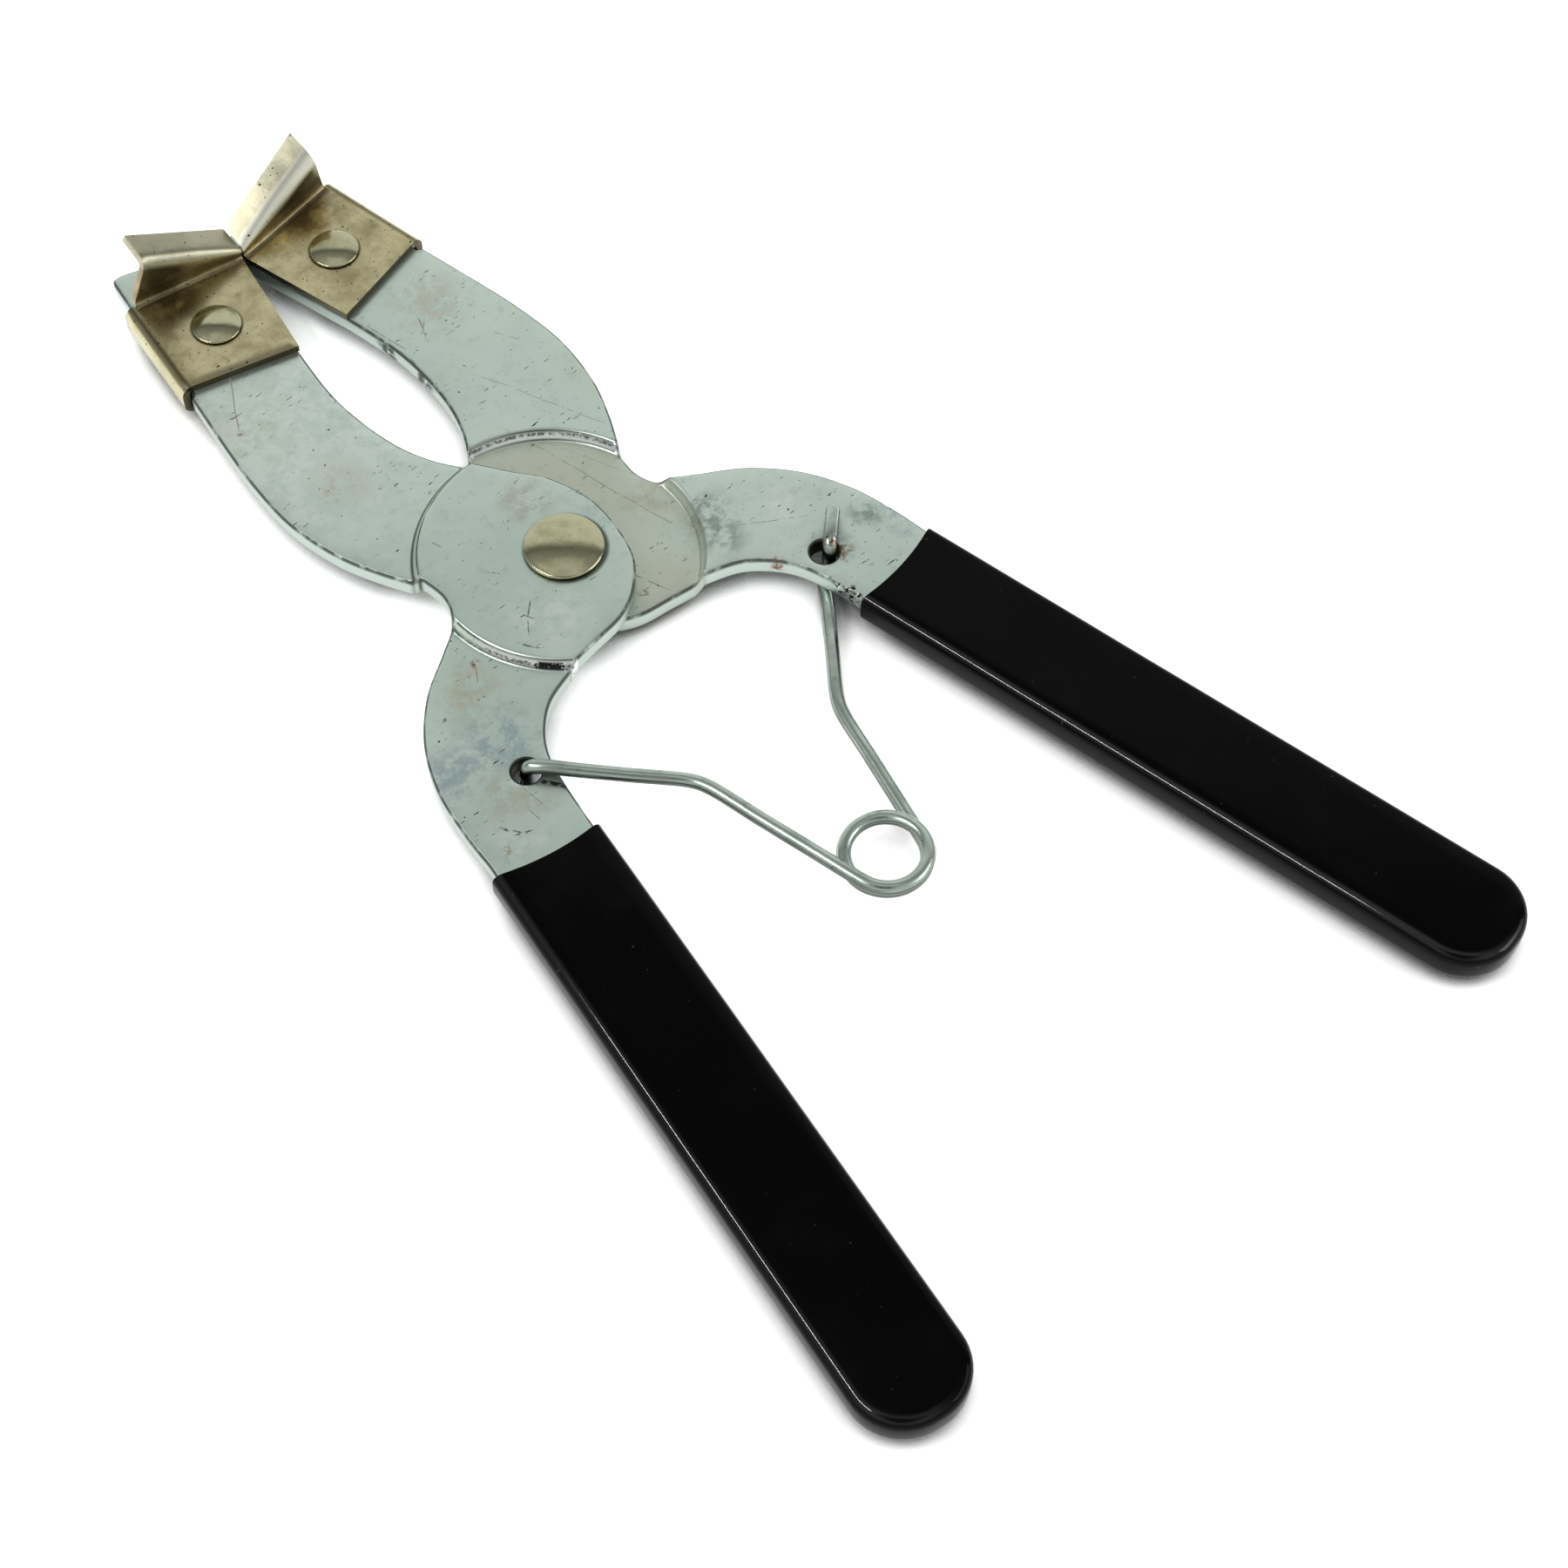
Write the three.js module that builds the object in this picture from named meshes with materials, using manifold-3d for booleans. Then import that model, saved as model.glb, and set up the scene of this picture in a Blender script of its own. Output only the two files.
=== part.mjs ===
// Piston-ring expander pliers: two pressed-steel levers lapped and riveted at a pivot, a wire
// spring between the handles, dip-moulded grips, and a bent-sheet ring tip riveted to each jaw.
// Millimetres, +Z up, the tool lying flat with its jaws towards +Y. The origin is on the pivot
// axis, in the flat under-face of the pivot rivet. Squeezing the grips opens the jaws.
import * as THREE from 'three';
import { mergeVertices } from 'three/addons/utils/BufferGeometryUtils.js';
import Module from 'manifold-3d';

const wasm = await Module();
wasm.setup();

// ---------------------------------------------------------------- driving dimensions

// Heights are measured from the underside of the flat arms, which TAIL_DROP then lifts.
const TAIL_DROP = 3.6;
const PLATE = 3.0;
const LAP_SHIFT = 1.55;
const LAP_SLOPE = 1.2;

// Lap circles: [centre x, centre y, radius at the lap face]. Above LAP_SPLIT_Y the first one
// holds, below it the second.
const RAISED_LAP = [[0, 0, 21.8], [0, 0, 20.0]];
const SUNK_LAP = [[-0.3, 4.0, 20.0], [0, 0, 20.0]];
const LAP_SPLIT_Y = 5;

// Half the slit between the two closed jaws.
const JAW_SLIT = 0.15;

// Outline of the right-hand lever, drawn anticlockwise from the tip of its jaw.
const JAW_FRONT_INNER = [JAW_SLIT, 83.3];
const JAW_TOUCH = [JAW_SLIT, 78.2];
const JAW_INNER_EDGE = [[4.8, 58], [6.3, 48.5], [6.4, 41], [5.4, 33.5], [3.3, 27.5], [0.3, 22.6]];
const LAP_LOBE_EDGE = [[-3.6, 16.6], [-7.2, 11.2], [-9.1, 3], [-7.3, -6.8], [-3.4, -12], [1.4, -14.9],
  [7.5, -15.9], [13, -16.7]];
const HANDLE_INNER_BEND = [[18.4, -18.6], [22.3, -21.9], [24.7, -25.7], [26.1, -30.5]];
const HANDLE_OUTER_BEND = [[42.2, -27.5], [40.4, -19.6], [36.8, -12.2], [31.2, -6], [24.7, -1.7],
  [20.4, 1.4], [18.8, 5.2], [19.1, 9.4]];
const JAW_OUTER_EDGE = [[22.4, 15.6], [25.2, 22.8], [26.7, 32], [26.2, 41.5], [24.9, 50], [22.8, 61.2]];
const CLIP_REBATE_REAR = [22.05, 61.4];
const CLIP_REBATE_FRONT = [19.05, 81.6];
const JAW_CORNER = [18.0, 87.2];
const JAW_CORNER_BULGE = [17.7, 89.4];
const JAW_CORNER_END = [15.8, 88.9];

// Handles: a straight pressed channel, open underneath, that the grips cover.
const HANDLE_ANGLE = THREE.MathUtils.degToRad(10.17);
const HANDLE_START = [35.2, -35.5];
const HANDLE_WIDTH = 15.8;
const HANDLE_LENGTH = 102.5;
const HANDLE_END_RADIUS = 7.0;
const CHANNEL_WALL = 2.8;
const CHANNEL_DROP = 1.15;
const CHANNEL_RAMP = 5;

// Grips: a skin on the steel. Its edge lies a little before or past the handle's start.
const GRIP_SKIN = 0.85;
const GRIP_GAP = 0.12;
const LEFT_GRIP_START = 2.4;
const RIGHT_GRIP_START = -1.1;

// Spring.
const WIRE = 2.1;
const SPRING_HOLE = [28.9, -25.6];
const SPRING_HOLE_RADIUS = 2.15;
const HOOK_END = [34.7, -21.3];
const LEFT_KINK = [12.3, -43.9];
const RIGHT_KINK = [13.3, -45.4];
const LEG_LIFT = 1.35;
const KINK_EASE = 0.08;
const KINK_RISE = 0.45;
const HOOK_BEND = 1.5;
const COIL_CENTRE = [0, -69.4];
const COIL_RADIUS = 5.95;
const COIL_PITCH = 2.35;
const COIL_END = 1.5 * Math.PI;
const COIL_CUT = 0.3;

// Pivot rivet.
const PIVOT_SHANK = 3.4;
const PIVOT_HOLE = 3.7;
const PIVOT_HEAD = 6.05;
const PIVOT_RIM = 0.9;
const PIVOT_DOME = 1.2;
const PIVOT_TAIL = 5.2;
const PIVOT_TAIL_CHAMFER = 0.8;
const PIVOT_PLAY = 0.1;

// Jaw tips: a sheet clip round the jaw's outer edge, with a flared flange across its front.
const SHEET = 1.2;
const CLIP_GAP = 0.15;
const CLIP_REAR_INNER = [4.7, 57.6];
const CLIP_REAR_OUTER = [23.6, 62.5];
const CLIP_FRONT_OUTER = [20.5, 81.5];
const CLIP_FRONT_INNER = [JAW_SLIT, 78.1];
const CLIP_UNDER_REACH = 14;
const CLIP_FOLD_RADIUS = 1.8;
const FLANGE_INNER_X = JAW_SLIT;
const FLANGE_INNER = { foot: [78.1, 0], crest: [77.3, 2.1], lip: [82.0, 3.3] };
const FLANGE_OUTER_X = 16.3;
const FLANGE_OUTER = { foot: [81.2, 0], crest: [78.8, 10.1], lip: [84.1, 11.8] };
const FLANGE_OUTER_SPREAD = { foot: 1.7, crest: 0, lip: -0.3 };
const FLANGE_ROOT = 3;

// Jaw rivets.
const JAW_RIVET = [11.6, 69.4];
const JAW_RIVET_SHANK = 2.2;
const JAW_RIVET_HOLE = 2.35;
const JAW_RIVET_HEAD = 3.9;
const JAW_RIVET_RIM = 0.45;
const JAW_RIVET_DOME = 0.9;
const JAW_RIVET_TAIL = 3.4;
const JAW_RIVET_TAIL_HEIGHT = 1.0;
const JAW_RIVET_TAIL_CHAMFER = 0.6;

// Facets.
const CURVE_STEPS = 3;
const ROUND_STEPS = 48;
const DOME_STEPS = 6;
const WIRE_SIDES = 8;
const WIRE_STEPS = 72;
const COIL_POINTS = 22;

// How far cutting solids reach past what they cut, and half the width of a solid wider than the tool.
const OVERSHOOT = 5;
const REACH = 150;

// ---------------------------------------------------------------- solids and cuts

function toSolid(geometry) {
  const bare = geometry.clone();
  bare.deleteAttribute('normal');
  bare.deleteAttribute('uv');
  const merged = mergeVertices(bare);
  const mesh = new wasm.Mesh({
    numProp: 3,
    vertProperties: Float32Array.from(merged.attributes.position.array),
    triVerts: Uint32Array.from(merged.index.array),
  });
  return new wasm.Manifold(mesh);
}

function toGeometry(solid) {
  const mesh = solid.getMesh();
  const geometry = new THREE.BufferGeometry();
  geometry.setAttribute('position', new THREE.BufferAttribute(Float32Array.from(mesh.vertProperties), 3));
  geometry.setIndex(new THREE.BufferAttribute(Uint32Array.from(mesh.triVerts), 1));
  geometry.computeVertexNormals();
  return geometry;
}

// The same geometry on the other side of the YZ plane, with its faces turned to point out again.
function mirrored(geometry) {
  const copy = geometry.clone();
  copy.scale(-1, 1, 1);
  const index = copy.index.array;
  for (let i = 0; i < index.length; i += 3) {
    const second = index[i + 1];
    index[i + 1] = index[i + 2];
    index[i + 2] = second;
  }
  copy.computeVertexNormals();
  return copy;
}

function prism(shape, low, high) {
  const geometry = new THREE.ExtrudeGeometry(shape, {
    depth: high - low,
    bevelEnabled: false,
    curveSegments: CURVE_STEPS,
  });
  geometry.translate(0, 0, low);
  return toSolid(geometry);
}

function polygon(points) {
  return new THREE.Shape(points.map(([x, y]) => new THREE.Vector2(x, y)));
}

function roundHole(centre, radius) {
  const geometry = new THREE.CylinderGeometry(radius, radius, 4 * OVERSHOOT, ROUND_STEPS);
  geometry.rotateX(Math.PI / 2);
  geometry.translate(centre[0], centre[1], 0);
  return toSolid(geometry);
}

function turned(profile, centre) {
  const points = profile.map(([radius, height]) => new THREE.Vector2(radius, height));
  const geometry = new THREE.LatheGeometry(points, ROUND_STEPS);
  geometry.rotateX(Math.PI / 2);
  geometry.translate(centre[0], centre[1], 0);
  return geometry;
}

// ---------------------------------------------------------------- levers

function leverOutline() {
  const outline = new THREE.Shape();
  const spline = (points) => outline.splineThru(points.map(([x, y]) => new THREE.Vector2(x, y)));
  outline.moveTo(...JAW_FRONT_INNER);
  outline.lineTo(...JAW_TOUCH);
  outline.lineTo(...JAW_INNER_EDGE[0]);
  spline(JAW_INNER_EDGE.slice(1));
  spline(LAP_LOBE_EDGE);
  spline([...HANDLE_INNER_BEND, handlePoint(0, -HANDLE_WIDTH / 2)]);
  outline.lineTo(...handlePoint(OVERSHOOT, -HANDLE_WIDTH / 2));
  outline.lineTo(...handlePoint(OVERSHOOT, HANDLE_WIDTH / 2));
  outline.lineTo(...handlePoint(0, HANDLE_WIDTH / 2));
  spline(HANDLE_OUTER_BEND);
  spline(JAW_OUTER_EDGE);
  outline.lineTo(...CLIP_REBATE_REAR);
  outline.lineTo(...CLIP_REBATE_FRONT);
  outline.lineTo(...JAW_CORNER);
  outline.quadraticCurveTo(...JAW_CORNER_BULGE, ...JAW_CORNER_END);
  outline.closePath();
  return outline;
}

// A point of the straight handle, by its distance along the handle and across it.
function handlePoint(along, across) {
  const sin = Math.sin(HANDLE_ANGLE);
  const cos = Math.cos(HANDLE_ANGLE);
  return [HANDLE_START[0] + along * sin + across * cos, HANDLE_START[1] - along * cos + across * sin];
}

// The handle's outline from its start to its rounded end, grown outwards by grow.
function handleOutline(grow, start) {
  const half = HANDLE_WIDTH / 2 + grow;
  const end = HANDLE_LENGTH + grow;
  const radius = HANDLE_END_RADIUS + grow;
  const outline = new THREE.Shape();
  outline.moveTo(...handlePoint(start, -half));
  outline.lineTo(...handlePoint(end - radius, -half));
  outline.quadraticCurveTo(...handlePoint(end, -half), ...handlePoint(end, -half + radius));
  outline.lineTo(...handlePoint(end, half - radius));
  outline.quadraticCurveTo(...handlePoint(end, half), ...handlePoint(end - radius, half));
  outline.lineTo(...handlePoint(start, half));
  outline.closePath();
  return outline;
}

// A wedge under the handle that leaves its side walls growing from nothing to their full depth.
function rampCut(drop) {
  const side = new THREE.Shape();
  side.moveTo(-2 * OVERSHOOT, -drop);
  side.lineTo(0, -drop);
  side.lineTo(CHANNEL_RAMP, -CHANNEL_DROP - drop);
  side.lineTo(CHANNEL_RAMP, -CHANNEL_DROP - drop - OVERSHOOT);
  side.lineTo(-2 * OVERSHOOT, -CHANNEL_DROP - drop - OVERSHOOT);
  side.closePath();
  const width = 3 * HANDLE_WIDTH;
  const geometry = new THREE.ExtrudeGeometry(side, { depth: width, bevelEnabled: false });
  geometry.translate(0, 0, -width / 2);
  // The side view's X runs along the handle and its Y is height.
  geometry.rotateX(Math.PI / 2);
  geometry.rotateZ(HANDLE_ANGLE - Math.PI / 2);
  geometry.translate(HANDLE_START[0], HANDLE_START[1], 0);
  return toSolid(geometry);
}

// The walled, open-bottomed channel of a handle. Grow is the thickness of a skin all round it.
function handleChannel(grow, start) {
  const outer = prism(handleOutline(grow, start), -CHANNEL_DROP - grow, PLATE + grow);
  const groove = prism(handleOutline(-CHANNEL_WALL - grow, -3 * OVERSHOOT), -2 * OVERSHOOT, -grow);
  return outer.subtract(groove).subtract(rampCut(grow));
}

// One round of the lap: a shallow cone between the arm's face and the lap's face.
function lapCone([x, y, radius], from, to) {
  const slope = LAP_SLOPE / LAP_SHIFT;
  const height = Math.abs(to - from);
  const wide = radius + slope * height;
  const widthAtTop = to > from ? radius : wide;
  const widthAtBottom = to > from ? wide : radius;
  const geometry = new THREE.CylinderGeometry(widthAtTop, widthAtBottom, height, 2 * ROUND_STEPS);
  geometry.rotateX(Math.PI / 2);
  geometry.translate(x, y, (from + to) / 2);
  return toSolid(geometry);
}

// Everything on one side of the line where a lap's two rounds meet.
function halfPlane(sign) {
  const geometry = new THREE.BoxGeometry(2 * REACH, REACH, 4 * OVERSHOOT);
  geometry.translate(0, LAP_SPLIT_Y + sign * REACH / 2, 0);
  return toSolid(geometry);
}

// Both rounds of a lap as one solid, growing narrower from one height to the other.
function lapPad(rounds, from, to) {
  const upper = lapCone(rounds[0], from, to).intersect(halfPlane(1));
  const lower = lapCone(rounds[1], from, to).intersect(halfPlane(-1));
  return upper.add(lower);
}

// The right-hand lever, with its lap pressed up (shift > 0) or down (shift < 0).
function lever(shift, rounds) {
  const blank = prism(leverOutline(), -2 * OVERSHOOT, 2 * OVERSHOOT);
  const slab = new THREE.BoxGeometry(2 * REACH, 2 * REACH, PLATE);
  slab.translate(0, 0, PLATE / 2);
  const outside = shift > 0 ? PLATE : 0;
  const inside = PLATE - outside;
  const sink = Math.sign(shift);
  const raised = lapPad(rounds, outside - sink, outside + shift);
  const hollow = lapPad(rounds, inside - sink, inside + shift);
  const sheet = toSolid(slab).add(raised).subtract(hollow);
  const flat = sheet.intersect(blank);
  return toGeometry(flat
    .add(handleChannel(0, -1))
    .subtract(roundHole([0, 0], PIVOT_HOLE))
    .subtract(roundHole(SPRING_HOLE, SPRING_HOLE_RADIUS))
    .subtract(roundHole(JAW_RIVET, JAW_RIVET_HOLE)));
}

// ---------------------------------------------------------------- grips

// A skin over the channel inside and out, closed at the end of the handle.
function grip(start) {
  const skin = handleChannel(GRIP_SKIN, start);
  const steel = handleChannel(GRIP_GAP, -OVERSHOOT);
  return toGeometry(skin.subtract(steel));
}

// ---------------------------------------------------------------- rivets

function pivotRivet() {
  const seat = PLATE + LAP_SHIFT;
  const tailTop = -LAP_SHIFT - PIVOT_PLAY;
  const profile = [
    [0, -TAIL_DROP],
    [PIVOT_TAIL - PIVOT_TAIL_CHAMFER, -TAIL_DROP],
    [PIVOT_TAIL, -TAIL_DROP + PIVOT_TAIL_CHAMFER],
    [PIVOT_TAIL, tailTop],
    [PIVOT_SHANK, tailTop],
    [PIVOT_SHANK, seat],
    [PIVOT_HEAD, seat],
    ...domeProfile(PIVOT_HEAD, seat + PIVOT_RIM, PIVOT_DOME),
  ];
  return turned(profile, [0, 0]);
}

function jawRivet() {
  const seat = PLATE + SHEET;
  const under = -CLIP_GAP - SHEET;
  const profile = [
    [0, under - JAW_RIVET_TAIL_HEIGHT],
    [JAW_RIVET_TAIL - JAW_RIVET_TAIL_CHAMFER, under - JAW_RIVET_TAIL_HEIGHT],
    [JAW_RIVET_TAIL, under - JAW_RIVET_TAIL_HEIGHT + JAW_RIVET_TAIL_CHAMFER],
    [JAW_RIVET_TAIL, under],
    [JAW_RIVET_SHANK, under],
    [JAW_RIVET_SHANK, seat],
    [JAW_RIVET_HEAD, seat],
    ...domeProfile(JAW_RIVET_HEAD, seat + JAW_RIVET_RIM, JAW_RIVET_DOME),
  ];
  return turned(profile, JAW_RIVET);
}

// A shallow dome as a quarter ellipse, from its rim to the axis.
function domeProfile(radius, rim, height) {
  const points = [];
  for (let i = 0; i < DOME_STEPS; i += 1) {
    const angle = (i / DOME_STEPS) * Math.PI / 2;
    points.push([radius * Math.cos(angle), rim + height * Math.sin(angle)]);
  }
  points.push([0, rim + height]);
  return points;
}

// ---------------------------------------------------------------- jaw tips

// Two faces of the same number of points, joined by flat sides.
function loft(first, second) {
  const count = first.length;
  const positions = [...first, ...second].flat();
  const index = [];
  const contour = first.map((point) => new THREE.Vector2(point[1], point[2]));
  const clockwise = THREE.ShapeUtils.isClockWise(contour);
  THREE.ShapeUtils.triangulateShape(contour, []).forEach(([a, b, c]) => {
    index.push(a, c, b);
    index.push(count + a, count + b, count + c);
  });
  for (let i = 0; i < count; i += 1) {
    const next = (i + 1) % count;
    const side = [i, next, count + next, i, count + next, count + i];
    index.push(...(clockwise ? side.reverse() : side));
  }
  const geometry = new THREE.BufferGeometry();
  geometry.setAttribute('position', new THREE.Float32BufferAttribute(positions, 3));
  geometry.setIndex(index);
  return toSolid(geometry);
}

// The flange's section at one end: its seen side, then its back one sheet thickness away.
function flangeSection(x, { foot, crest, lip }, spread) {
  const base = PLATE + SHEET;
  const start = [foot[0] - FLANGE_ROOT, 0];
  const front = [start, foot, crest, lip];
  const back = front.map((point, i) => offsetCorner(front[i - 1], point, front[i + 1], SHEET));
  const across = [0, spread.foot, spread.crest, spread.lip];
  const place = ([y, z], i) => [x + across[i], y, base + z];
  const seen = front.map(place);
  const hidden = back.map(place);
  return [...seen, ...hidden.reverse()];
}

// A polyline's corner moved to its right-hand side by the sheet's thickness.
function offsetCorner(previous, point, next, distance) {
  const normals = [];
  if (previous) normals.push(rightNormal(previous, point));
  if (next) normals.push(rightNormal(point, next));
  const sum = normals.reduce((total, n) => [total[0] + n[0], total[1] + n[1]], [0, 0]);
  const length = Math.hypot(...sum);
  const unit = [sum[0] / length, sum[1] / length];
  const reach = distance / (unit[0] * normals[0][0] + unit[1] * normals[0][1]);
  return [point[0] + unit[0] * reach, point[1] + unit[1] * reach];
}

function rightNormal(from, to) {
  const along = [to[0] - from[0], to[1] - from[1]];
  const length = Math.hypot(...along);
  return [along[1] / length, -along[0] / length];
}

// The clip's bent sheet seen along the jaw's outer edge, that edge at X = 0 and the jaw at X < 0.
function clipSection() {
  const top = PLATE + SHEET;
  const bottom = -CLIP_GAP - SHEET;
  const section = new THREE.Shape();
  section.moveTo(-REACH, top);
  section.lineTo(-CLIP_FOLD_RADIUS, top);
  section.quadraticCurveTo(0, top, 0, top - CLIP_FOLD_RADIUS);
  section.lineTo(0, bottom + CLIP_FOLD_RADIUS);
  section.quadraticCurveTo(0, bottom, -CLIP_FOLD_RADIUS, bottom);
  section.lineTo(-CLIP_UNDER_REACH, bottom);
  section.lineTo(-CLIP_UNDER_REACH, bottom + SHEET);
  section.lineTo(-SHEET, bottom + SHEET);
  section.lineTo(-SHEET, PLATE);
  section.lineTo(-REACH, PLATE);
  section.closePath();
  return section;
}

// The clip: its section run along the outer edge, trimmed to the clip's plan outline.
function clip() {
  const edge = [CLIP_REAR_OUTER[0] - CLIP_FRONT_OUTER[0], CLIP_FRONT_OUTER[1] - CLIP_REAR_OUTER[1]];
  const length = Math.hypot(...edge) + 4 * OVERSHOOT;
  const geometry = new THREE.ExtrudeGeometry(clipSection(), {
    depth: length,
    bevelEnabled: false,
    curveSegments: CURVE_STEPS,
  });
  geometry.translate(0, 0, -length + 2 * OVERSHOOT);
  geometry.rotateX(Math.PI / 2);
  geometry.rotateZ(Math.atan2(edge[0], edge[1]));
  geometry.translate(CLIP_REAR_OUTER[0], CLIP_REAR_OUTER[1], 0);
  const corners = [CLIP_REAR_INNER, CLIP_REAR_OUTER, CLIP_FRONT_OUTER, CLIP_FRONT_INNER];
  return toSolid(geometry).intersect(prism(polygon(corners), -2 * OVERSHOOT, 2 * OVERSHOOT));
}

function jawTip() {
  const noSpread = { foot: 0, crest: 0, lip: 0 };
  const inner = flangeSection(FLANGE_INNER_X, FLANGE_INNER, noSpread);
  const outer = flangeSection(FLANGE_OUTER_X, FLANGE_OUTER, FLANGE_OUTER_SPREAD);
  return toGeometry(clip().add(loft(inner, outer)).subtract(roundHole(JAW_RIVET, JAW_RIVET_HOLE)));
}

// ---------------------------------------------------------------- spring

function lerp(from, to, part) {
  return from + (to - from) * part;
}

// Angle, round the coil, at which a straight leg from the kink touches it.
function tangentAngle(kink) {
  const across = kink[0] - COIL_CENTRE[0];
  const along = kink[1] - COIL_CENTRE[1];
  return Math.atan2(along, across) - Math.acos(COIL_RADIUS / Math.hypot(across, along));
}

// One half of the spring as a list of points: its end hook, its leg and its part of the coil.
// The right half has its hook on top of the plate and its leg below, the left half the reverse.
function springRoute(side) {
  const over = PLATE + LEG_LIFT;
  const below = -LEG_LIFT;
  const hookHeight = side > 0 ? over : below;
  const legHeight = side > 0 ? below : over;
  const kink = side > 0 ? RIGHT_KINK : LEFT_KINK;
  const start = tangentAngle(kink);
  const turn = COIL_END + start;
  const middle = PLATE / 2;
  const coilHeight = middle - side * COIL_PITCH * turn / (2 * Math.PI);
  const kinkHeight = lerp(legHeight, coilHeight, KINK_RISE);
  const points = [];
  const add = (x, y, z) => points.push(new THREE.Vector3(side * x, y, z));
  const addBetween = (from, to, part, height) => {
    add(lerp(from[0], to[0], part), lerp(from[1], to[1], part), height);
  };
  const addOnCoil = (angle, height) => {
    const [x, y] = COIL_CENTRE;
    add(x + COIL_RADIUS * Math.cos(angle), y + COIL_RADIUS * Math.sin(angle), height);
  };
  add(HOOK_END[0], HOOK_END[1], hookHeight);
  addBend(points, side, kink, hookHeight, legHeight);
  addBetween(SPRING_HOLE, kink, 0.5, lerp(legHeight, kinkHeight, 0.5));
  addBetween(kink, SPRING_HOLE, KINK_EASE, kinkHeight);
  const touch = [
    COIL_CENTRE[0] + COIL_RADIUS * Math.cos(start),
    COIL_CENTRE[1] + COIL_RADIUS * Math.sin(start),
  ];
  addBetween(kink, touch, KINK_EASE, kinkHeight);
  addBetween(kink, touch, 0.5, lerp(kinkHeight, coilHeight, 0.5));
  const cut = COIL_CUT / 2 / COIL_RADIUS;
  for (let i = 0; i <= COIL_POINTS; i += 1) {
    const part = i / COIL_POINTS;
    addOnCoil(start - part * (turn - cut), lerp(coilHeight, middle, part));
  }
  return points;
}

// The wire through the plate's hole: in from the hook, straight through, and out along the leg.
// It turns each corner by way of a point just before it and one just after it.
function addBend(points, side, kink, hookHeight, legHeight) {
  const toHook = new THREE.Vector2(HOOK_END[0] - SPRING_HOLE[0], HOOK_END[1] - SPRING_HOLE[1]).normalize();
  const toLeg = new THREE.Vector2(kink[0] - SPRING_HOLE[0], kink[1] - SPRING_HOLE[1]).normalize();
  const down = Math.sign(legHeight - hookHeight);
  const corner = 0.3 * HOOK_BEND;
  const clear = HOOK_BEND + corner;
  const place = (direction, reach, height) => points.push(new THREE.Vector3(
    side * (SPRING_HOLE[0] + direction.x * reach), SPRING_HOLE[1] + direction.y * reach, height));
  place(toHook, clear, hookHeight);
  place(toHook, corner, hookHeight + down * corner);
  place(toHook, 0, hookHeight + down * clear);
  place(toLeg, 0, legHeight - down * clear);
  place(toLeg, corner, legHeight - down * corner);
  place(toLeg, clear, legHeight);
}

function springHalf(side) {
  const route = new THREE.CatmullRomCurve3(springRoute(side), false, 'centripetal');
  const section = new THREE.Shape();
  for (let i = 0; i <= WIRE_SIDES; i += 1) {
    const angle = (i / WIRE_SIDES) * 2 * Math.PI;
    const point = [WIRE / 2 * Math.cos(angle), WIRE / 2 * Math.sin(angle)];
    if (i === 0) section.moveTo(...point);
    else section.lineTo(...point);
  }
  return new THREE.ExtrudeGeometry(section, { steps: WIRE_STEPS, bevelEnabled: false, extrudePath: route });
}

// ---------------------------------------------------------------- assembly

const zinc = { color: 0xacbeb7, roughness: 0.38, metalness: 0.85 };
const nickel = { color: 0x968c6e, roughness: 0.42, metalness: 0.8 };
const bright = { color: 0xc9c5b2, roughness: 0.2, metalness: 1.0 };
const wire = { color: 0x9aa8a0, roughness: 0.35, metalness: 0.9 };
const vinyl = { color: 0x0b0b0c, roughness: 0.18, metalness: 0.0 };

const tool = new THREE.Group();
tool.position.z = TAIL_DROP;

function addPiece(name, geometry, look) {
  const mesh = new THREE.Mesh(geometry, new THREE.MeshStandardMaterial(look));
  mesh.name = name;
  tool.add(mesh);
}

addPiece('left_lever', mirrored(lever(LAP_SHIFT, RAISED_LAP)), zinc);
addPiece('right_lever', lever(-LAP_SHIFT, SUNK_LAP), zinc);
addPiece('pivot_rivet', pivotRivet(), bright);
addPiece('left_grip', mirrored(grip(LEFT_GRIP_START)), vinyl);
addPiece('right_grip', grip(RIGHT_GRIP_START), vinyl);
addPiece('left_jaw_tip', mirrored(jawTip()), nickel);
addPiece('right_jaw_tip', jawTip(), nickel);
addPiece('left_jaw_rivet', mirrored(jawRivet()), bright);
addPiece('right_jaw_rivet', jawRivet(), bright);
addPiece('return_spring_left_half', springHalf(-1), wire);
addPiece('return_spring_right_half', springHalf(1), wire);

export default tool;
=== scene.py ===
"""Piston-ring expander pliers: worn zinc levers, nickel jaw tips, a wire spring and dipped grips.

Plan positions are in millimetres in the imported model's own axes, and heights are measured from the
underside of the flat arms. Right-hand pieces are built first and mirrored for the left.
"""
import math

import bmesh
import bpy
import numpy as np
from mathutils import Matrix, Vector, noise
from mathutils.geometry import delaunay_2d_cdt


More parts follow.
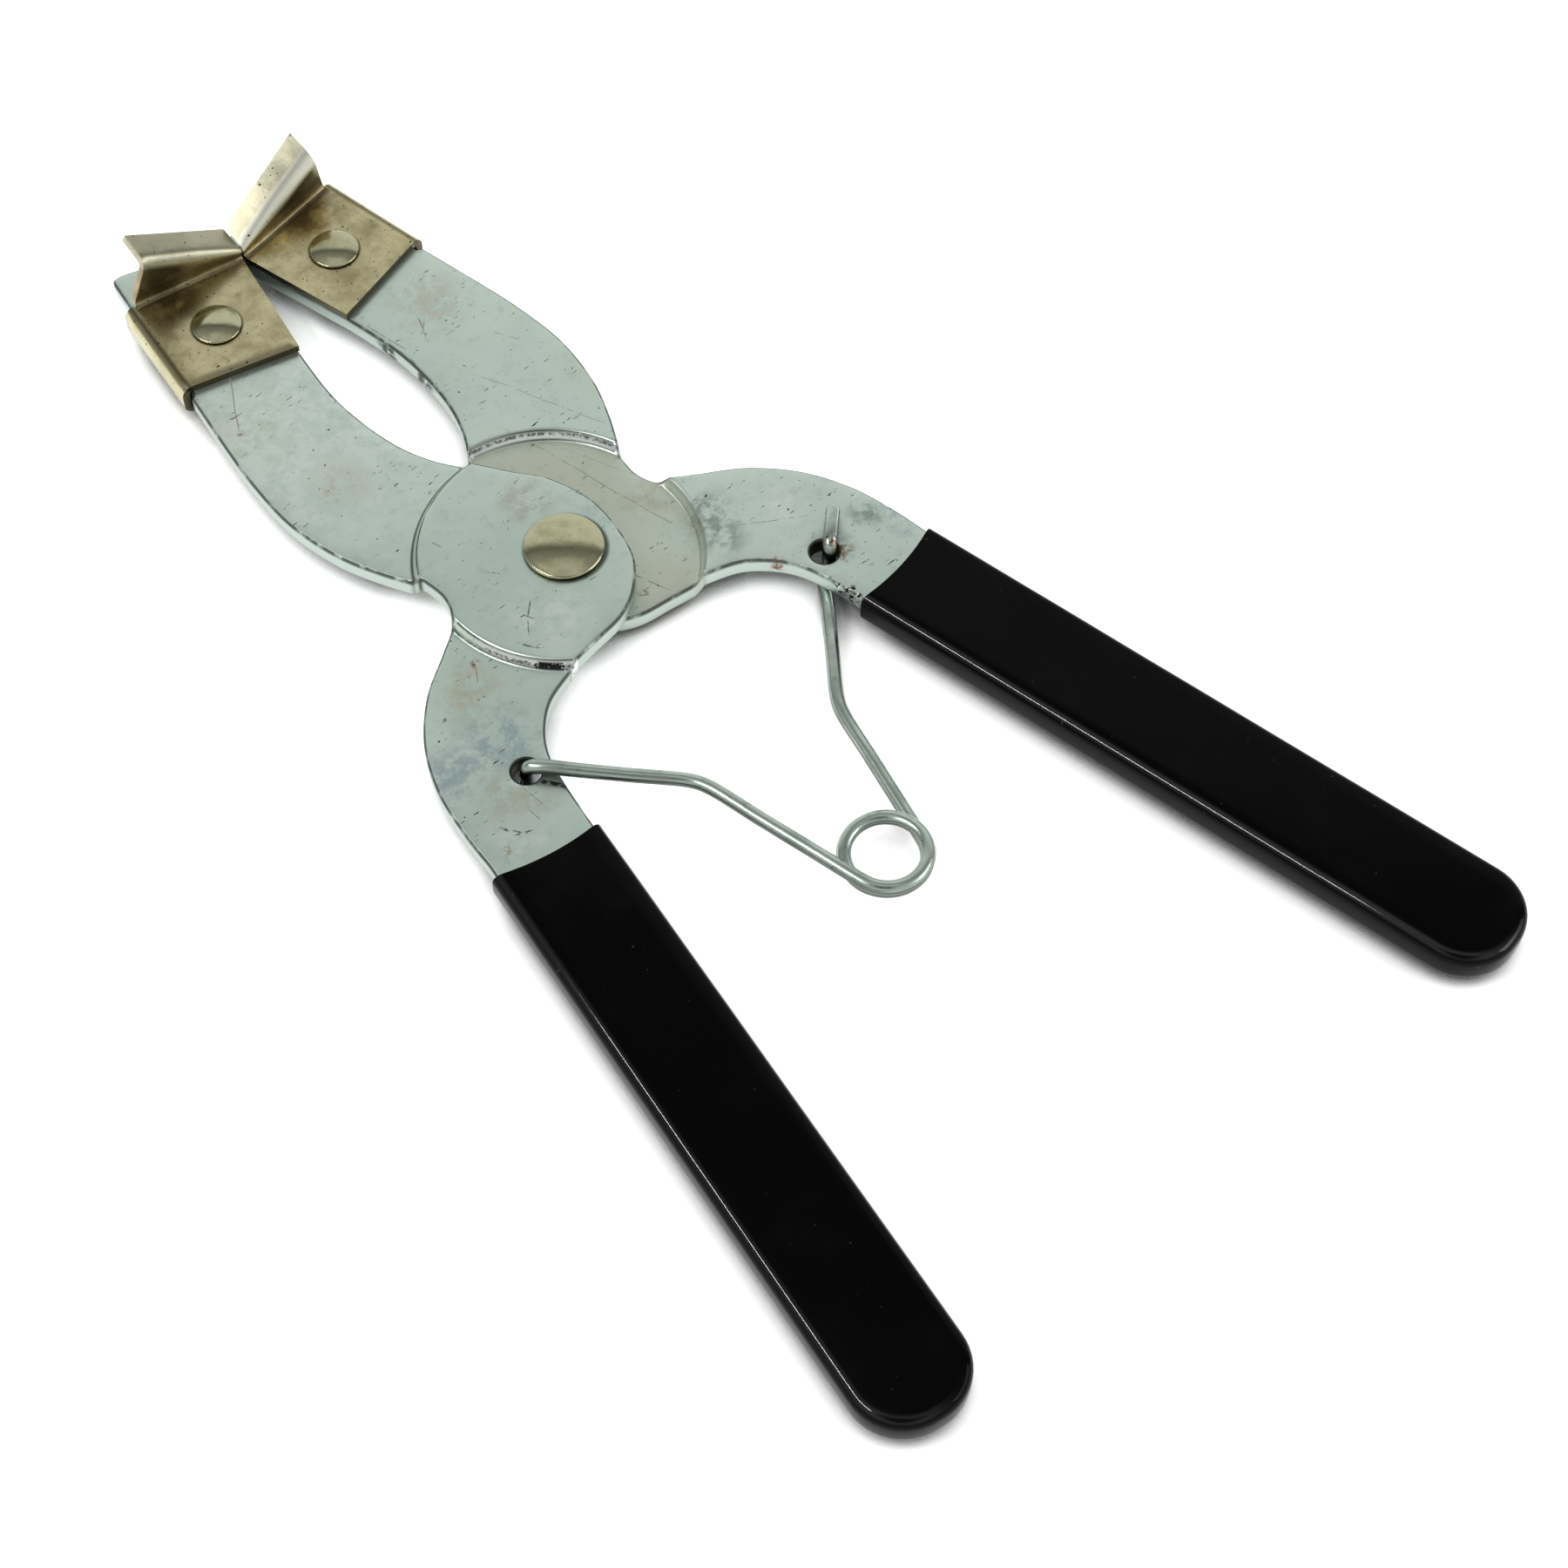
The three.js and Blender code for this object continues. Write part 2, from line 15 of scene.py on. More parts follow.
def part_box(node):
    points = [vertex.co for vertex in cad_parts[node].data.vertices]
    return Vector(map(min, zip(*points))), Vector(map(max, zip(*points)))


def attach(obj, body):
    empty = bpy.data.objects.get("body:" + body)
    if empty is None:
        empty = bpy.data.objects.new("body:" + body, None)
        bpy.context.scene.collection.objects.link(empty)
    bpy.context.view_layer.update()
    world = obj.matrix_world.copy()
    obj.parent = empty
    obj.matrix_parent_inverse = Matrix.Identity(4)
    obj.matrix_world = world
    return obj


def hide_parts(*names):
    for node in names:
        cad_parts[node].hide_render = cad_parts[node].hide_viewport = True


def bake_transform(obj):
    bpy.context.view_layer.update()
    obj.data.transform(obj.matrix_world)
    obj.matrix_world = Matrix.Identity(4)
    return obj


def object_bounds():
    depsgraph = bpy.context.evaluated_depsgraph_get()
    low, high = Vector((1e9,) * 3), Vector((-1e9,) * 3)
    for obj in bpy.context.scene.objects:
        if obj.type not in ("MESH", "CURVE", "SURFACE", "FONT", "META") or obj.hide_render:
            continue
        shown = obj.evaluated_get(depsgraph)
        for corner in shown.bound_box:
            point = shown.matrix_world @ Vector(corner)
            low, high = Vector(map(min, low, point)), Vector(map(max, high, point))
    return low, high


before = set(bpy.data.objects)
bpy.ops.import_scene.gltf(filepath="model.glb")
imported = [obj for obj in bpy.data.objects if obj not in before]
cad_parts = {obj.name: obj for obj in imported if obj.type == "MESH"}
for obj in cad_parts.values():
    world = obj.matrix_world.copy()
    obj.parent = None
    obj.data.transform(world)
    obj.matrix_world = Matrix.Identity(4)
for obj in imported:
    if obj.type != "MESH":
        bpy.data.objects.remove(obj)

cad_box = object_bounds()

# ---- sizes

MM = 0.001
PLATE = 3.0
PLATE_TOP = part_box("right_lever")[1].z / MM
ARM = PLATE_TOP - PLATE
LAP_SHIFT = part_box("left_lever")[1].z / MM - PLATE_TOP
FLOOR = cad_box[0].z

SIGNS = {"left": -1, "right": 1}

# The circles (x, y, radius) that bound each lap, above and below the split.
LAPS = {"left": ((0.0, 0.0, 21.6), (0.0, 0.0, 20.0)), "right": ((-0.3, 4.0, 20.0), (0.0, 0.0, 20.0))}
LAP_SLOPE = 1.2
LAP_EASE = 0.15
LAP_SPLIT_Y = 5.0

# The right-hand lever's outline, anticlockwise from the tip of its jaw. Each row is one smooth run.
JAW_FRONT_INNER = (0.15, 83.3)
JAW_TOUCH = (0.15, 78.2)
JAW_INNER_EDGE = ((4.8, 58), (6.3, 48.5), (6.4, 41), (5.4, 33.5), (3.3, 27.5), (0.3, 22.6))
LAP_LOBE_EDGE = ((-3.6, 16.6), (-7.2, 11.2), (-9.1, 3), (-7.3, -6.8), (-3.4, -12), (1.4, -14.9),
                 (7.5, -15.9), (13, -16.7))
HANDLE_INNER_BEND = ((18.4, -18.6), (22.3, -21.9), (24.7, -25.7), (26.1, -30.5))
HANDLE_OUTER_BEND = ((42.2, -27.5), (40.4, -19.6), (36.8, -12.2), (31.2, -6), (24.7, -1.7),
                     (20.4, 1.4), (18.8, 5.2), (19.1, 9.4))
JAW_OUTER_EDGE = ((22.4, 15.6), (25.2, 22.8), (26.7, 32), (26.2, 41.5), (24.9, 50), (22.8, 61.2))
CLIP_REBATE = ((22.05, 61.4), (19.05, 81.6))
JAW_CORNER = ((18.0, 87.2), (17.5, 88.7), (15.8, 88.9))

HANDLE_ANGLE = math.radians(10.17)
HANDLE_START = (35.2, -35.5)
HANDLE_HALF = 7.9
HANDLE_LENGTHS = {"left": 100.9, "right": 104.5}
HANDLE_END_RADIUS = 7.4

# How far apart the outline's points are, and how the joggle's points are set out.
FINE = 0.6
COARSE = 1.2
JOGGLE_RINGS = 13
JOGGLE_SIDES = 300
JOGGLE_MARGIN = 0.6

SPRING_HOLE = (28.9, -25.6)
SPRING_HOLE_RADIUS = 2.15
PIVOT_HOLE_RADIUS = 3.7

# Grips.
GRIP_SKIN = 0.85
GRIP_TOP = PLATE + 0.9
GRIP_BOTTOM = -2.0
GRIP_END_RADIUS = 8.2
GRIP_STARTS = {"left": 2.4, "right": -0.95}
DIP_BOW = 1.0
LIP_STEPS = (0, 0.1, 0.3, 0.7, 1.4)
LIP_SWELL = 0.15
GRIP_ROWS = 44
GRIP_ACROSS = 10
GRIP_GROOVE = ((3.4, 0.05), (4.3, 0.3), (5.0, 0.75), (5.6, 1.0), (6.2, 1.05))
GRIP_FLAT = ((2.6, 0.0), (3.4, 0.0), (4.2, 0.0), (5.0, 0.0), (5.8, 0.0))

# Jaw tips.
SHEET = 1.2
TIP_TOP = PLATE + SHEET
CLIP_REAR_INNER = (4.7, 57.6)
CLIP_REAR_OUTER = (23.6, 62.5)
CLIP_FRONT_OUTER = (20.5, 81.5)
CLIP_FRONT_INNER = (0.15, 78.1)
CLIP_FOLD_RADIUS = 1.7
CLIP_BOTTOM = -1.35
CLIP_UNDER_REACH = 14.0
FLANGE_FOOT = ((0.15, 78.1, 0.0), (18.7, 81.25, 0.0))
FLANGE_CREST = ((0.15, 77.3, 2.1), (16.3, 78.8, 10.1))
FLANGE_LIP = ((0.15, 82.0, 3.3), (16.0, 84.1, 11.8))

# Spring.
WIRE = 2.15
HOOK_END = (34.7, -21.3)
KINKS = {"left": (12.3, -43.9), "right": (13.3, -45.4)}
RING_CENTRE = (0.0, -69.4)
RING_RADIUS = 5.95
RING_PITCH = 2.25
RING_LEAN = (-0.28, -0.30)
HOLE_SLACK = {"left": (0.0, 0.0), "right": (0.55, -0.5)}
LEG_LIFT = 1.35

# ---- mesh helpers


def point(x, y, height):
    return Vector((x, y, height + ARM)) * MM


def mesh_object(name, vertices, faces, attributes=None):
    """A smooth-shaded object from points in metres, faces, and {name: value per vertex}."""
    mesh = bpy.data.meshes.new(name)
    mesh.from_pydata([tuple(v) for v in vertices], [], faces)
    for key, values in (attributes or {}).items():
        layer = mesh.attributes.new(key, "FLOAT", "POINT")
        layer.data.foreach_set("value", np.asarray(values, np.float32))
    mesh.validate()
    mesh.polygons.foreach_set("use_smooth", [True] * len(mesh.polygons))
    piece = bpy.data.objects.new(name, mesh)
    bpy.context.scene.collection.objects.link(piece)
    return piece


def solid(name, vertices, faces, attributes=None):
    """A mesh object of a closed shape, with every face turned outwards."""
    piece = mesh_object(name, vertices, faces, attributes)
    work = bmesh.new()
    work.from_mesh(piece.data)
    bmesh.ops.remove_doubles(work, verts=work.verts, dist=1e-7)
    bmesh.ops.recalc_face_normals(work, faces=work.faces)
    work.to_mesh(piece.data)
    work.free()
    return piece


def quads(rows, closed=False):
    """Faces between neighbouring rows of point indices, each row closed into a ring if asked."""
    faces = []
    for near, far in zip(rows, rows[1:]):
        for i in range(len(near) if closed else len(near) - 1):
            j = (i + 1) % len(near)
            faces.append((near[i], near[j], far[j], far[i]))
    return faces


def index_rows(base, count, rows):
    """Indices of points that were added row after row, count to a row, from base on."""
    return [list(range(base + row * count, base + (row + 1) * count)) for row in range(rows)]


def mirror(piece):
    """Turns a right-hand piece into its left-hand twin."""
    piece.data.transform(Matrix.Scale(-1, 4, (1, 0, 0)))
    piece.data.flip_normals()


def apply_modifiers(piece):
    depsgraph = bpy.context.evaluated_depsgraph_get()
    mesh = bpy.data.meshes.new_from_object(piece.evaluated_get(depsgraph))
    piece.modifiers.clear()
    piece.data = mesh


def at_knot(t, start, end, a, b):
    return a + (b - a) * (t - start) / (end - start)


def spline(points, steps=14, power=0.0, lead=0.0):
    """A Catmull-Rom curve through the points: uniform with a power of 0, centripetal with 0.5.

    Before the first point and after the last, one more is added, lead times the end's own step away.
    """
    points = np.array(points, float)
    first = points[0] + lead * (points[0] - points[1])
    last = points[-1] + lead * (points[-1] - points[-2])
    padded = np.vstack([first, points, last])
    curve = []
    for spots in zip(padded, padded[1:], padded[2:], padded[3:]):
        knots = [0.0]
        for a, b in zip(spots, spots[1:]):
            knots.append(knots[-1] + np.linalg.norm(b - a) ** power)
        for t in np.linspace(knots[1], knots[2], steps, endpoint=False):
            once = [at_knot(t, knots[k], knots[k + 1], spots[k], spots[k + 1]) for k in range(3)]
            twice = [at_knot(t, knots[k], knots[k + 2], once[k], once[k + 1]) for k in range(2)]
            curve.append(at_knot(t, knots[1], knots[2], *twice))
    curve.append(points[-1])
    return np.array(curve)


def resample(curve, spacing):
    """Points spaced evenly along a polyline, both ends kept."""
    curve = np.asarray(curve, float)
    lengths = np.linalg.norm(np.diff(curve, axis=0), axis=1)
    along = np.concatenate([[0], np.cumsum(lengths)])
    count = max(1, round(along[-1] / spacing))
    wanted = np.linspace(0, along[-1], count + 1)
    return np.column_stack([np.interp(wanted, along, curve[:, i]) for i in range(curve.shape[1])])


def joined(runs):
    """Open runs that meet end to end, as one closed loop without repeated points."""
    return np.vstack([run[:-1] for run in runs])


def outward_normals(loop):
    """Unit normals of an anticlockwise loop, with corners mitred."""
    edge = np.roll(loop, -1, axis=0) - loop
    edge /= np.hypot(*edge.T)[:, None]
    normal = np.column_stack([edge[:, 1], -edge[:, 0]])
    total = normal + np.roll(normal, 1, axis=0)
    total /= np.hypot(*total.T)[:, None]
    reach = np.einsum("ij,ij->i", total, normal)
    return total / np.maximum(reach, 0.6)[:, None]


def inside(points, loop):
    """Which points lie inside a closed loop."""
    x, y = points[:, 0], points[:, 1]
    result = np.zeros(len(points), bool)
    for (x0, y0), (x1, y1) in zip(loop, np.roll(loop, -1, axis=0)):
        crosses = (y0 > y) != (y1 > y)
        if y0 != y1:
            result ^= crosses & (x < (x1 - x0) * (y - y0) / (y1 - y0) + x0)
    return result


def smoothstep(value):
    value = np.clip(value, 0, 1)
    return value * value * (3 - 2 * value)


# ---- levers


def handle_point(along, across):
    sin, cos = math.sin(HANDLE_ANGLE), math.cos(HANDLE_ANGLE)
    return (HANDLE_START[0] + along * sin + across * cos,
            HANDLE_START[1] - along * cos + across * sin)


def rounded_end(middle, flat, radius, steps):
    """The end of a handle or grip, along and across it: two quarter circles with a flat between."""
    arc = [math.radians(90 * i / steps) for i in range(steps + 1)]
    return ([(middle + radius * math.sin(a), -flat - radius * math.cos(a)) for a in arc]
            + [(middle + radius * math.cos(a), flat + radius * math.sin(a)) for a in arc])


def handle_run(length):
    """The handle's inner side, rounded end and outer side."""
    end = rounded_end(length - HANDLE_END_RADIUS, HANDLE_HALF - HANDLE_END_RADIUS, HANDLE_END_RADIUS, 9)
    return [handle_point(*p) for p in [(0, -HANDLE_HALF), *end, (0, HANDLE_HALF)]]


def lever_outline(handle_length):
    """The right lever's closed outline, anticlockwise."""
    inner_start = handle_point(0, -HANDLE_HALF)
    outer_start = handle_point(0, HANDLE_HALF)
    runs = [
        resample([JAW_FRONT_INNER, JAW_TOUCH], FINE),
        resample([JAW_TOUCH, JAW_INNER_EDGE[0]], FINE),
        resample(spline(JAW_INNER_EDGE), FINE),
        resample(spline([JAW_INNER_EDGE[-1], *LAP_LOBE_EDGE]), FINE),
        resample(spline([LAP_LOBE_EDGE[-1], *HANDLE_INNER_BEND, inner_start]), FINE),
        resample(handle_run(handle_length), COARSE),
        resample(spline([outer_start, *HANDLE_OUTER_BEND]), FINE),
        resample(spline([HANDLE_OUTER_BEND[-1], *JAW_OUTER_EDGE]), FINE),
        resample([JAW_OUTER_EDGE[-1], *CLIP_REBATE], COARSE),
        resample([CLIP_REBATE[-1], JAW_CORNER[0]], FINE),
        resample(spline(JAW_CORNER), FINE / 2),
        resample([JAW_CORNER[-1], JAW_FRONT_INNER], FINE),
    ]
    return joined(runs)


def lap_depth(points, rounds):
    """0 on the flat arms and 1 on the lap, with the joggle's slope between."""
    upper = points[:, 1] > LAP_SPLIT_Y
    circle = np.where(upper[:, None], rounds[0], rounds[1])
    distance = np.hypot(points[:, 0] - circle[:, 0], points[:, 1] - circle[:, 1])
    past = distance - circle[:, 2] + LAP_EASE
    return 1 - smoothstep(past / (LAP_SLOPE + 2 * LAP_EASE))


def joggle_points(rounds):
    """Rings of points across the joggle, so that the mesh can follow its slope."""
    found = []
    angles = np.arange(JOGGLE_SIDES) * 2 * math.pi / JOGGLE_SIDES
    for (x, y, radius), upper in zip(rounds, (True, False)):
        for step in np.linspace(-JOGGLE_MARGIN, LAP_SLOPE + JOGGLE_MARGIN, JOGGLE_RINGS):
            ring = np.column_stack([x + (radius + step) * np.cos(angles),
                                    y + (radius + step) * np.sin(angles)])
            found.append(ring[(ring[:, 1] > LAP_SPLIT_Y) == upper])
    return np.vstack(found)


def flat_points(loop):
    """Points in even triangles over a loop's box."""
    low, high = loop.min(0), loop.max(0)
    rows = []
    for row, y in enumerate(np.arange(low[1], high[1], FLAT_SPACING * TRIANGLE_HEIGHT)):
        x = np.arange(low[0] + (row % 2) * FLAT_SPACING / 2, high[0], FLAT_SPACING)
        rows.append(np.column_stack([x, np.full(len(x), y)]))
    return np.vstack(rows)


def keep_clear(points, loop, distance):
    """The points at least a distance inside a loop."""
    points = points[inside(points, loop)]
    gap = np.full(len(points), np.inf)
    for spot in loop:
        gap = np.minimum(gap, np.hypot(points[:, 0] - spot[0], points[:, 1] - spot[1]))
    return points[gap > distance]


def triangulated(outer, holes, extra):
    """Triangles between an outer loop and its holes, using the extra points inside."""
    loops = [outer, *holes]
    points = np.vstack([*loops, extra])
    edges, start = [], 0
    for loop in loops:
        count = len(loop)
        edges += [(start + i, start + (i + 1) % count) for i in range(count)]
        start += count
    placed, _, faces, source, _, _ = delaunay_2d_cdt([Vector(p) for p in points], edges, [], 0, 1e-6)
    origin = [s[0] if s else -1 for s in source]
    centres = np.array([np.mean([placed[i][:] for i in face], axis=0) for face in faces])
    keep = inside(centres, outer)
    for hole in holes:
        keep &= ~inside(centres, hole)
    return [[origin[i] for i in face] for face, good in zip(faces, keep)
            if good and min(origin[i] for i in face) >= 0]


# Insets and depths of the sheared edge, from the top face round to the bottom face.
EDGE_TOP = ((0.60, 0.0), (0.42, -0.015), (0.26, -0.06), (0.13, -0.15), (0.04, -0.29), (0.0, -0.46))
EDGE_SIDE = ((0.0, -1.3), (0.02, -2.1), (0.06, -2.75))
EDGE_BOTTOM = ((0.11, -2.92), (0.22, -2.99), (0.60, -3.0))
EDGE_PROFILE = EDGE_TOP + EDGE_SIDE + EDGE_BOTTOM
RINGS = len(EDGE_PROFILE)
CORNER_RINGS = {1: 0.4, 2: 0.9, 3: 1.0, 4: 1.0, 5: 0.7}
HOLE_SIDES = 72
FLAT_SPACING = 2.4
TRIANGLE_HEIGHT = 0.866


def hole_loop(centre, radius):
    """A hole's rim, clockwise, and its normals, which point into the hole."""
    angles = -np.arange(HOLE_SIDES) * 2 * math.pi / HOLE_SIDES
    rim = np.column_stack([np.cos(angles), np.sin(angles)])
    return np.array(centre) + radius * rim, -rim


def inner_points(rims, rounds):
    """Points for the plate's two faces, close together on the joggle and wide apart elsewhere."""
    extra = np.vstack([keep_clear(joggle_points(rounds), rims[0], 0.25),
                       keep_clear(flat_points(rims[0]), rims[0], FLAT_SPACING / 2)])
    for rim in rims[1:]:
        extra = extra[~inside(extra, rim)]
    return extra


def lever(side):
    """A sheared plate with a pressed lap: rings round each edge, joined to two triangulated faces."""
    rounds = LAPS[side]
    outer = lever_outline(HANDLE_LENGTHS[side])
    loops = [(outer, outward_normals(outer)),
             hole_loop((0.0, 0.0), PIVOT_HOLE_RADIUS),
             hole_loop(SPRING_HOLE, SPRING_HOLE_RADIUS)]
    plan, ring_of, in_hole, faces, top, bottom = [], [], [], [], [], []
    for number, (loop, normal) in enumerate(loops):
        rows = index_rows(len(ring_of), len(loop), RINGS)
        faces += quads(rows, True)
        top += rows[0]
        bottom += rows[-1]
        for ring, (inset, _) in enumerate(EDGE_PROFILE):
            plan.append(loop - inset * normal)
            ring_of += [ring] * len(loop)
            in_hole += [number > 0] * len(loop)
    rims = [loop - EDGE_PROFILE[0][0] * normal for loop, normal in loops]
    extra = inner_points(rims, rounds)
    triangles = triangulated(rims[0], rims[1:], extra)
    count = len(extra)
    upper, lower = index_rows(len(ring_of), count, 2)
    top += upper
    bottom += lower
    faces += [tuple(top[i] for i in t) for t in triangles]
    faces += [tuple(bottom[i] for i in reversed(t)) for t in triangles]
    ring_of = np.array(ring_of + [0] * count + [RINGS - 1] * count)
    in_hole = np.array(in_hole + [False] * 2 * count)
    plan = np.vstack([*plan, extra, extra])
    depth = lap_depth(plan, rounds)
    height = PLATE + np.array([drop for _, drop in EDGE_PROFILE])[ring_of] - SIGNS[side] * LAP_SHIFT * depth
    # Where painted shade lines run, at the joggle's foot and head.
    foot_line = np.exp(-((depth - 0.16) / 0.15) ** 2)
    head_line = np.exp(-((depth - 0.86) / 0.08) ** 2)
    vertices = [point(x, y, z) for (x, y), z in zip(plan, height)]
    return solid(f"{side}_lever_pressed", vertices, faces, {
        "corner": np.array([CORNER_RINGS.get(ring, 0.0) for ring in range(RINGS)])[ring_of],
        "side": (ring_of >= len(EDGE_TOP) - 1) & (ring_of < RINGS - 2),
        "bore": in_hole & (ring_of >= 2) & (ring_of < RINGS - 1),
        "joggle": 4 * depth * (1 - depth),
        "step_shade": (depth > 0) * (foot_line + head_line),
        "lap": depth,
    })


# ---- grips


def grip_columns(start, length, inset):
    """Plan points along one grip wall, from its open end round the closed one and back."""
    radius = GRIP_END_RADIUS - inset
    half = HANDLE_HALF + GRIP_SKIN - inset
    flat = HANDLE_HALF + GRIP_SKIN - GRIP_END_RADIUS
    end = length + GRIP_SKIN - GRIP_END_RADIUS
    lip = [start + step for step in LIP_STEPS[:-1]]
    first = start + LIP_STEPS[-1]
    sides = lip + [first + (end - first) * (i / GRIP_ROWS) for i in range(GRIP_ROWS)]
    end_points = rounded_end(end, flat, radius, 12)
    return [(a, -half) for a in sides] + end_points + [(a, half) for a in reversed(sides)]


def round_profile(skin, top, bottom, top_radius, bottom_radius, groove):
    """Insets and heights of a grip wall, from its top face round to the groove under it."""
    profile = []
    for i in range(6):
        angle = math.radians(18 * i)
        profile.append((skin + top_radius * (1 - math.sin(angle)),
                        top - top_radius * (1 - math.cos(angle))))
    for i in range(7):
        angle = math.radians(15 * i)
        profile.append((skin + bottom_radius * (1 - math.cos(angle)),
                        bottom + bottom_radius * (1 - math.sin(angle))))
    profile += [(skin + inset, bottom + rise) for inset, rise in groove]
    return profile


def grip_shell(start, length, profile):
    """A closed-end sleeve: walls, a top face and an underside, with its open boundary's indices."""
    columns = [grip_columns(start, length, inset) for inset, _ in profile]
    count = len(columns[0])
    vertices = []
    for column, (_, height) in zip(columns, profile):
        vertices += [(along, across, height) for along, across in column]
    walls = index_rows(0, count, len(profile))
    faces = quads(walls)
    fronts = []
    for wall in (walls[0], walls[-1]):
        rows = []
        for i in range(count // 2):
            left, right = wall[i], wall[-1 - i]
            along, low, height = vertices[left]
            high = vertices[right][1]
            row = list(range(len(vertices), len(vertices) + GRIP_ACROSS - 1))
            vertices += [(along, low + (high - low) * step / GRIP_ACROSS, height)
                         for step in range(1, GRIP_ACROSS)]
            rows.append([left, *row, right])
        faces += quads(rows)
        fronts.append(rows[0][1:-1])
    left_edge, right_edge = [wall[0] for wall in walls], [wall[-1] for wall in walls]
    boundary = left_edge + fronts[1] + right_edge[::-1] + fronts[0][::-1]
    return vertices, faces, boundary


def grip(side):
    """A dipped skin: an outer and an inner shell, joined by a rounded lip at the open end."""
    start, length = GRIP_STARTS[side], HANDLE_LENGTHS[side]
    outside = round_profile(0.0, GRIP_TOP, GRIP_BOTTOM, 1.6, 2.0, GRIP_GROOVE)
    within = round_profile(GRIP_SKIN - 0.04, PLATE + 0.02, -0.02, 0.05, 0.05, GRIP_FLAT)
    vertices, faces, boundary = grip_shell(start, length, outside)
    inner_vertices, inner_faces, inner_boundary = grip_shell(start, length, within)
    offset = len(vertices)
    vertices += inner_vertices
    faces += [tuple(offset + i for i in reversed(face)) for face in inner_faces]
    inner_boundary = [offset + i for i in inner_boundary]
    rings = [boundary]
    for part in (0.12, 0.32, 0.6, 0.85):
        rings += index_rows(len(vertices), len(boundary), 1)
        for a, b in zip(boundary, inner_boundary):
            spot = Vector(vertices[a]).lerp(Vector(vertices[b]), part)
            spot.x -= LIP_SWELL * math.sin(math.pi * part)
            vertices.append(tuple(spot))
    faces += quads([*rings, inner_boundary], True)
    placed, rim = [], []
    half = HANDLE_HALF + GRIP_SKIN
    columns = len(grip_columns(start, length, 0.0))
    for number, (along, across, height) in enumerate(vertices):
        on_rim = 1 <= number // columns <= 2
        rim.append(smoothstep(0.5 - SIGNS[side] * across / half) if on_rim else 0.0)
        near_lip = smoothstep((start + 14 - along) / 14)
        along += DIP_BOW * (1 - (across / half) ** 2) * near_lip
        x, y = handle_point(along, across)
        wave = noise.noise(Vector((x, y, height)) / 13)
        small = noise.noise(Vector((x + 50, y, height)) / 4)
        height += 0.05 * wave + 0.012 * small if height > 1 else 0
        placed.append(point(x, y, height))
    return solid(f"{side}_grip_dipped", placed, faces, {"rim": rim})


# ---- rivets


def turned(name, profile, centre, segments=96):
    """A profile of (radius, height) turned about a vertical axis, both of its ends on the axis."""
    vertices = [point(*centre, profile[0][1])]
    for radius, height in profile[1:-1]:
        for i in range(segments):
            angle = i * 2 * math.pi / segments
            vertices.append(point(centre[0] + radius * math.cos(angle),
                                  centre[1] + radius * math.sin(angle), height))
    vertices.append(point(*centre, profile[-1][1]))
    rings = index_rows(1, segments, len(profile) - 2)
    faces = quads(rings, True)
    for tip, ring in ((0, rings[0]), (len(vertices) - 1, rings[-1])):
        faces += [(tip, a, b) for a, b in zip(ring, ring[1:] + ring[:1])]
    return solid(name, vertices, faces)


def dome(radius, rim, rise, roundness):
    """A domed head from its rim to the axis, its edge turned over with a small radius."""
    points = []
    for i in range(6):
        angle = math.radians(15 * i)
        points.append((radius - roundness * (1 - math.cos(angle)),
                       rim - roundness + roundness * math.sin(angle)))
    reach = radius - roundness
    for i in range(1, 22):
        part = 1 - i / 22
        points.append((reach * part, rim + rise * (1 - part ** 2.2)))
    points.append((0, rim + rise))
    return points


def pivot_rivet():
    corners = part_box("pivot_rivet")
    low, high = (corner.z / MM - ARM for corner in corners)
    radius = (corners[1].x - corners[0].x) / 2 / MM
    seat = PLATE + LAP_SHIFT
    tail = -LAP_SHIFT - 0.1
    rise = 1.25
    profile = [(0, low), (3.6, low), (4.4, low + 0.06), (4.9, low + 0.35), (5.15, low + 0.8),
               (5.2, tail - 0.15), (5.05, tail), (3.4, tail), (3.4, seat + 0.12),
               (radius - 0.6, seat + 0.12), (radius - 0.2, seat + 0.22), (radius - 0.04, seat + 0.38)]
    return turned("pivot_rivet_forged", profile + dome(radius, high - rise, rise, 0.35), (0, 0), 128)


def jaw_rivet(side):
    low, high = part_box("right_jaw_rivet")
    centre = ((low.x + high.x) / 2 / MM, (low.y + high.y) / 2 / MM)
    radius = (high.x - low.x) / 2 / MM
    bottom, top = low.z / MM - ARM, high.z / MM - ARM
    rise = 0.85
    profile = [(0, bottom), (2.2, bottom), (2.9, bottom + 0.1), (3.3, bottom + 0.45),
               (3.35, CLIP_BOTTOM - 0.1), (3.2, CLIP_BOTTOM), (2.2, CLIP_BOTTOM), (2.2, TIP_TOP + 0.06),
               (radius - 0.45, TIP_TOP + 0.06), (radius - 0.12, TIP_TOP + 0.14), (radius, TIP_TOP + 0.24)]
    return turned(f"{side}_jaw_rivet_headed", profile + dome(radius, top - rise, rise, 0.22), centre)


# ---- jaw tips


def filleted(path, reaches, steps):
    """A polyline with each inner corner eased over the given distance."""
    points = [path[0]]
    for before, corner, after, reach in zip(path, path[1:], path[2:], reaches):
        enter = corner + (before - corner).normalized() * min(reach, (before - corner).length * 0.45)
        leave = corner + (after - corner).normalized() * min(reach, (after - corner).length * 0.45)
        for i in range(steps + 1):
            t = i / steps
            points.append(enter * (1 - t) ** 2 + corner * 2 * t * (1 - t) + leave * t ** 2)
    return points + [path[-1]]


FLANGE_COLUMNS = 16
PLATE_ROWS = 10
FLANGE_FILLETS = (1.6, 2.8)

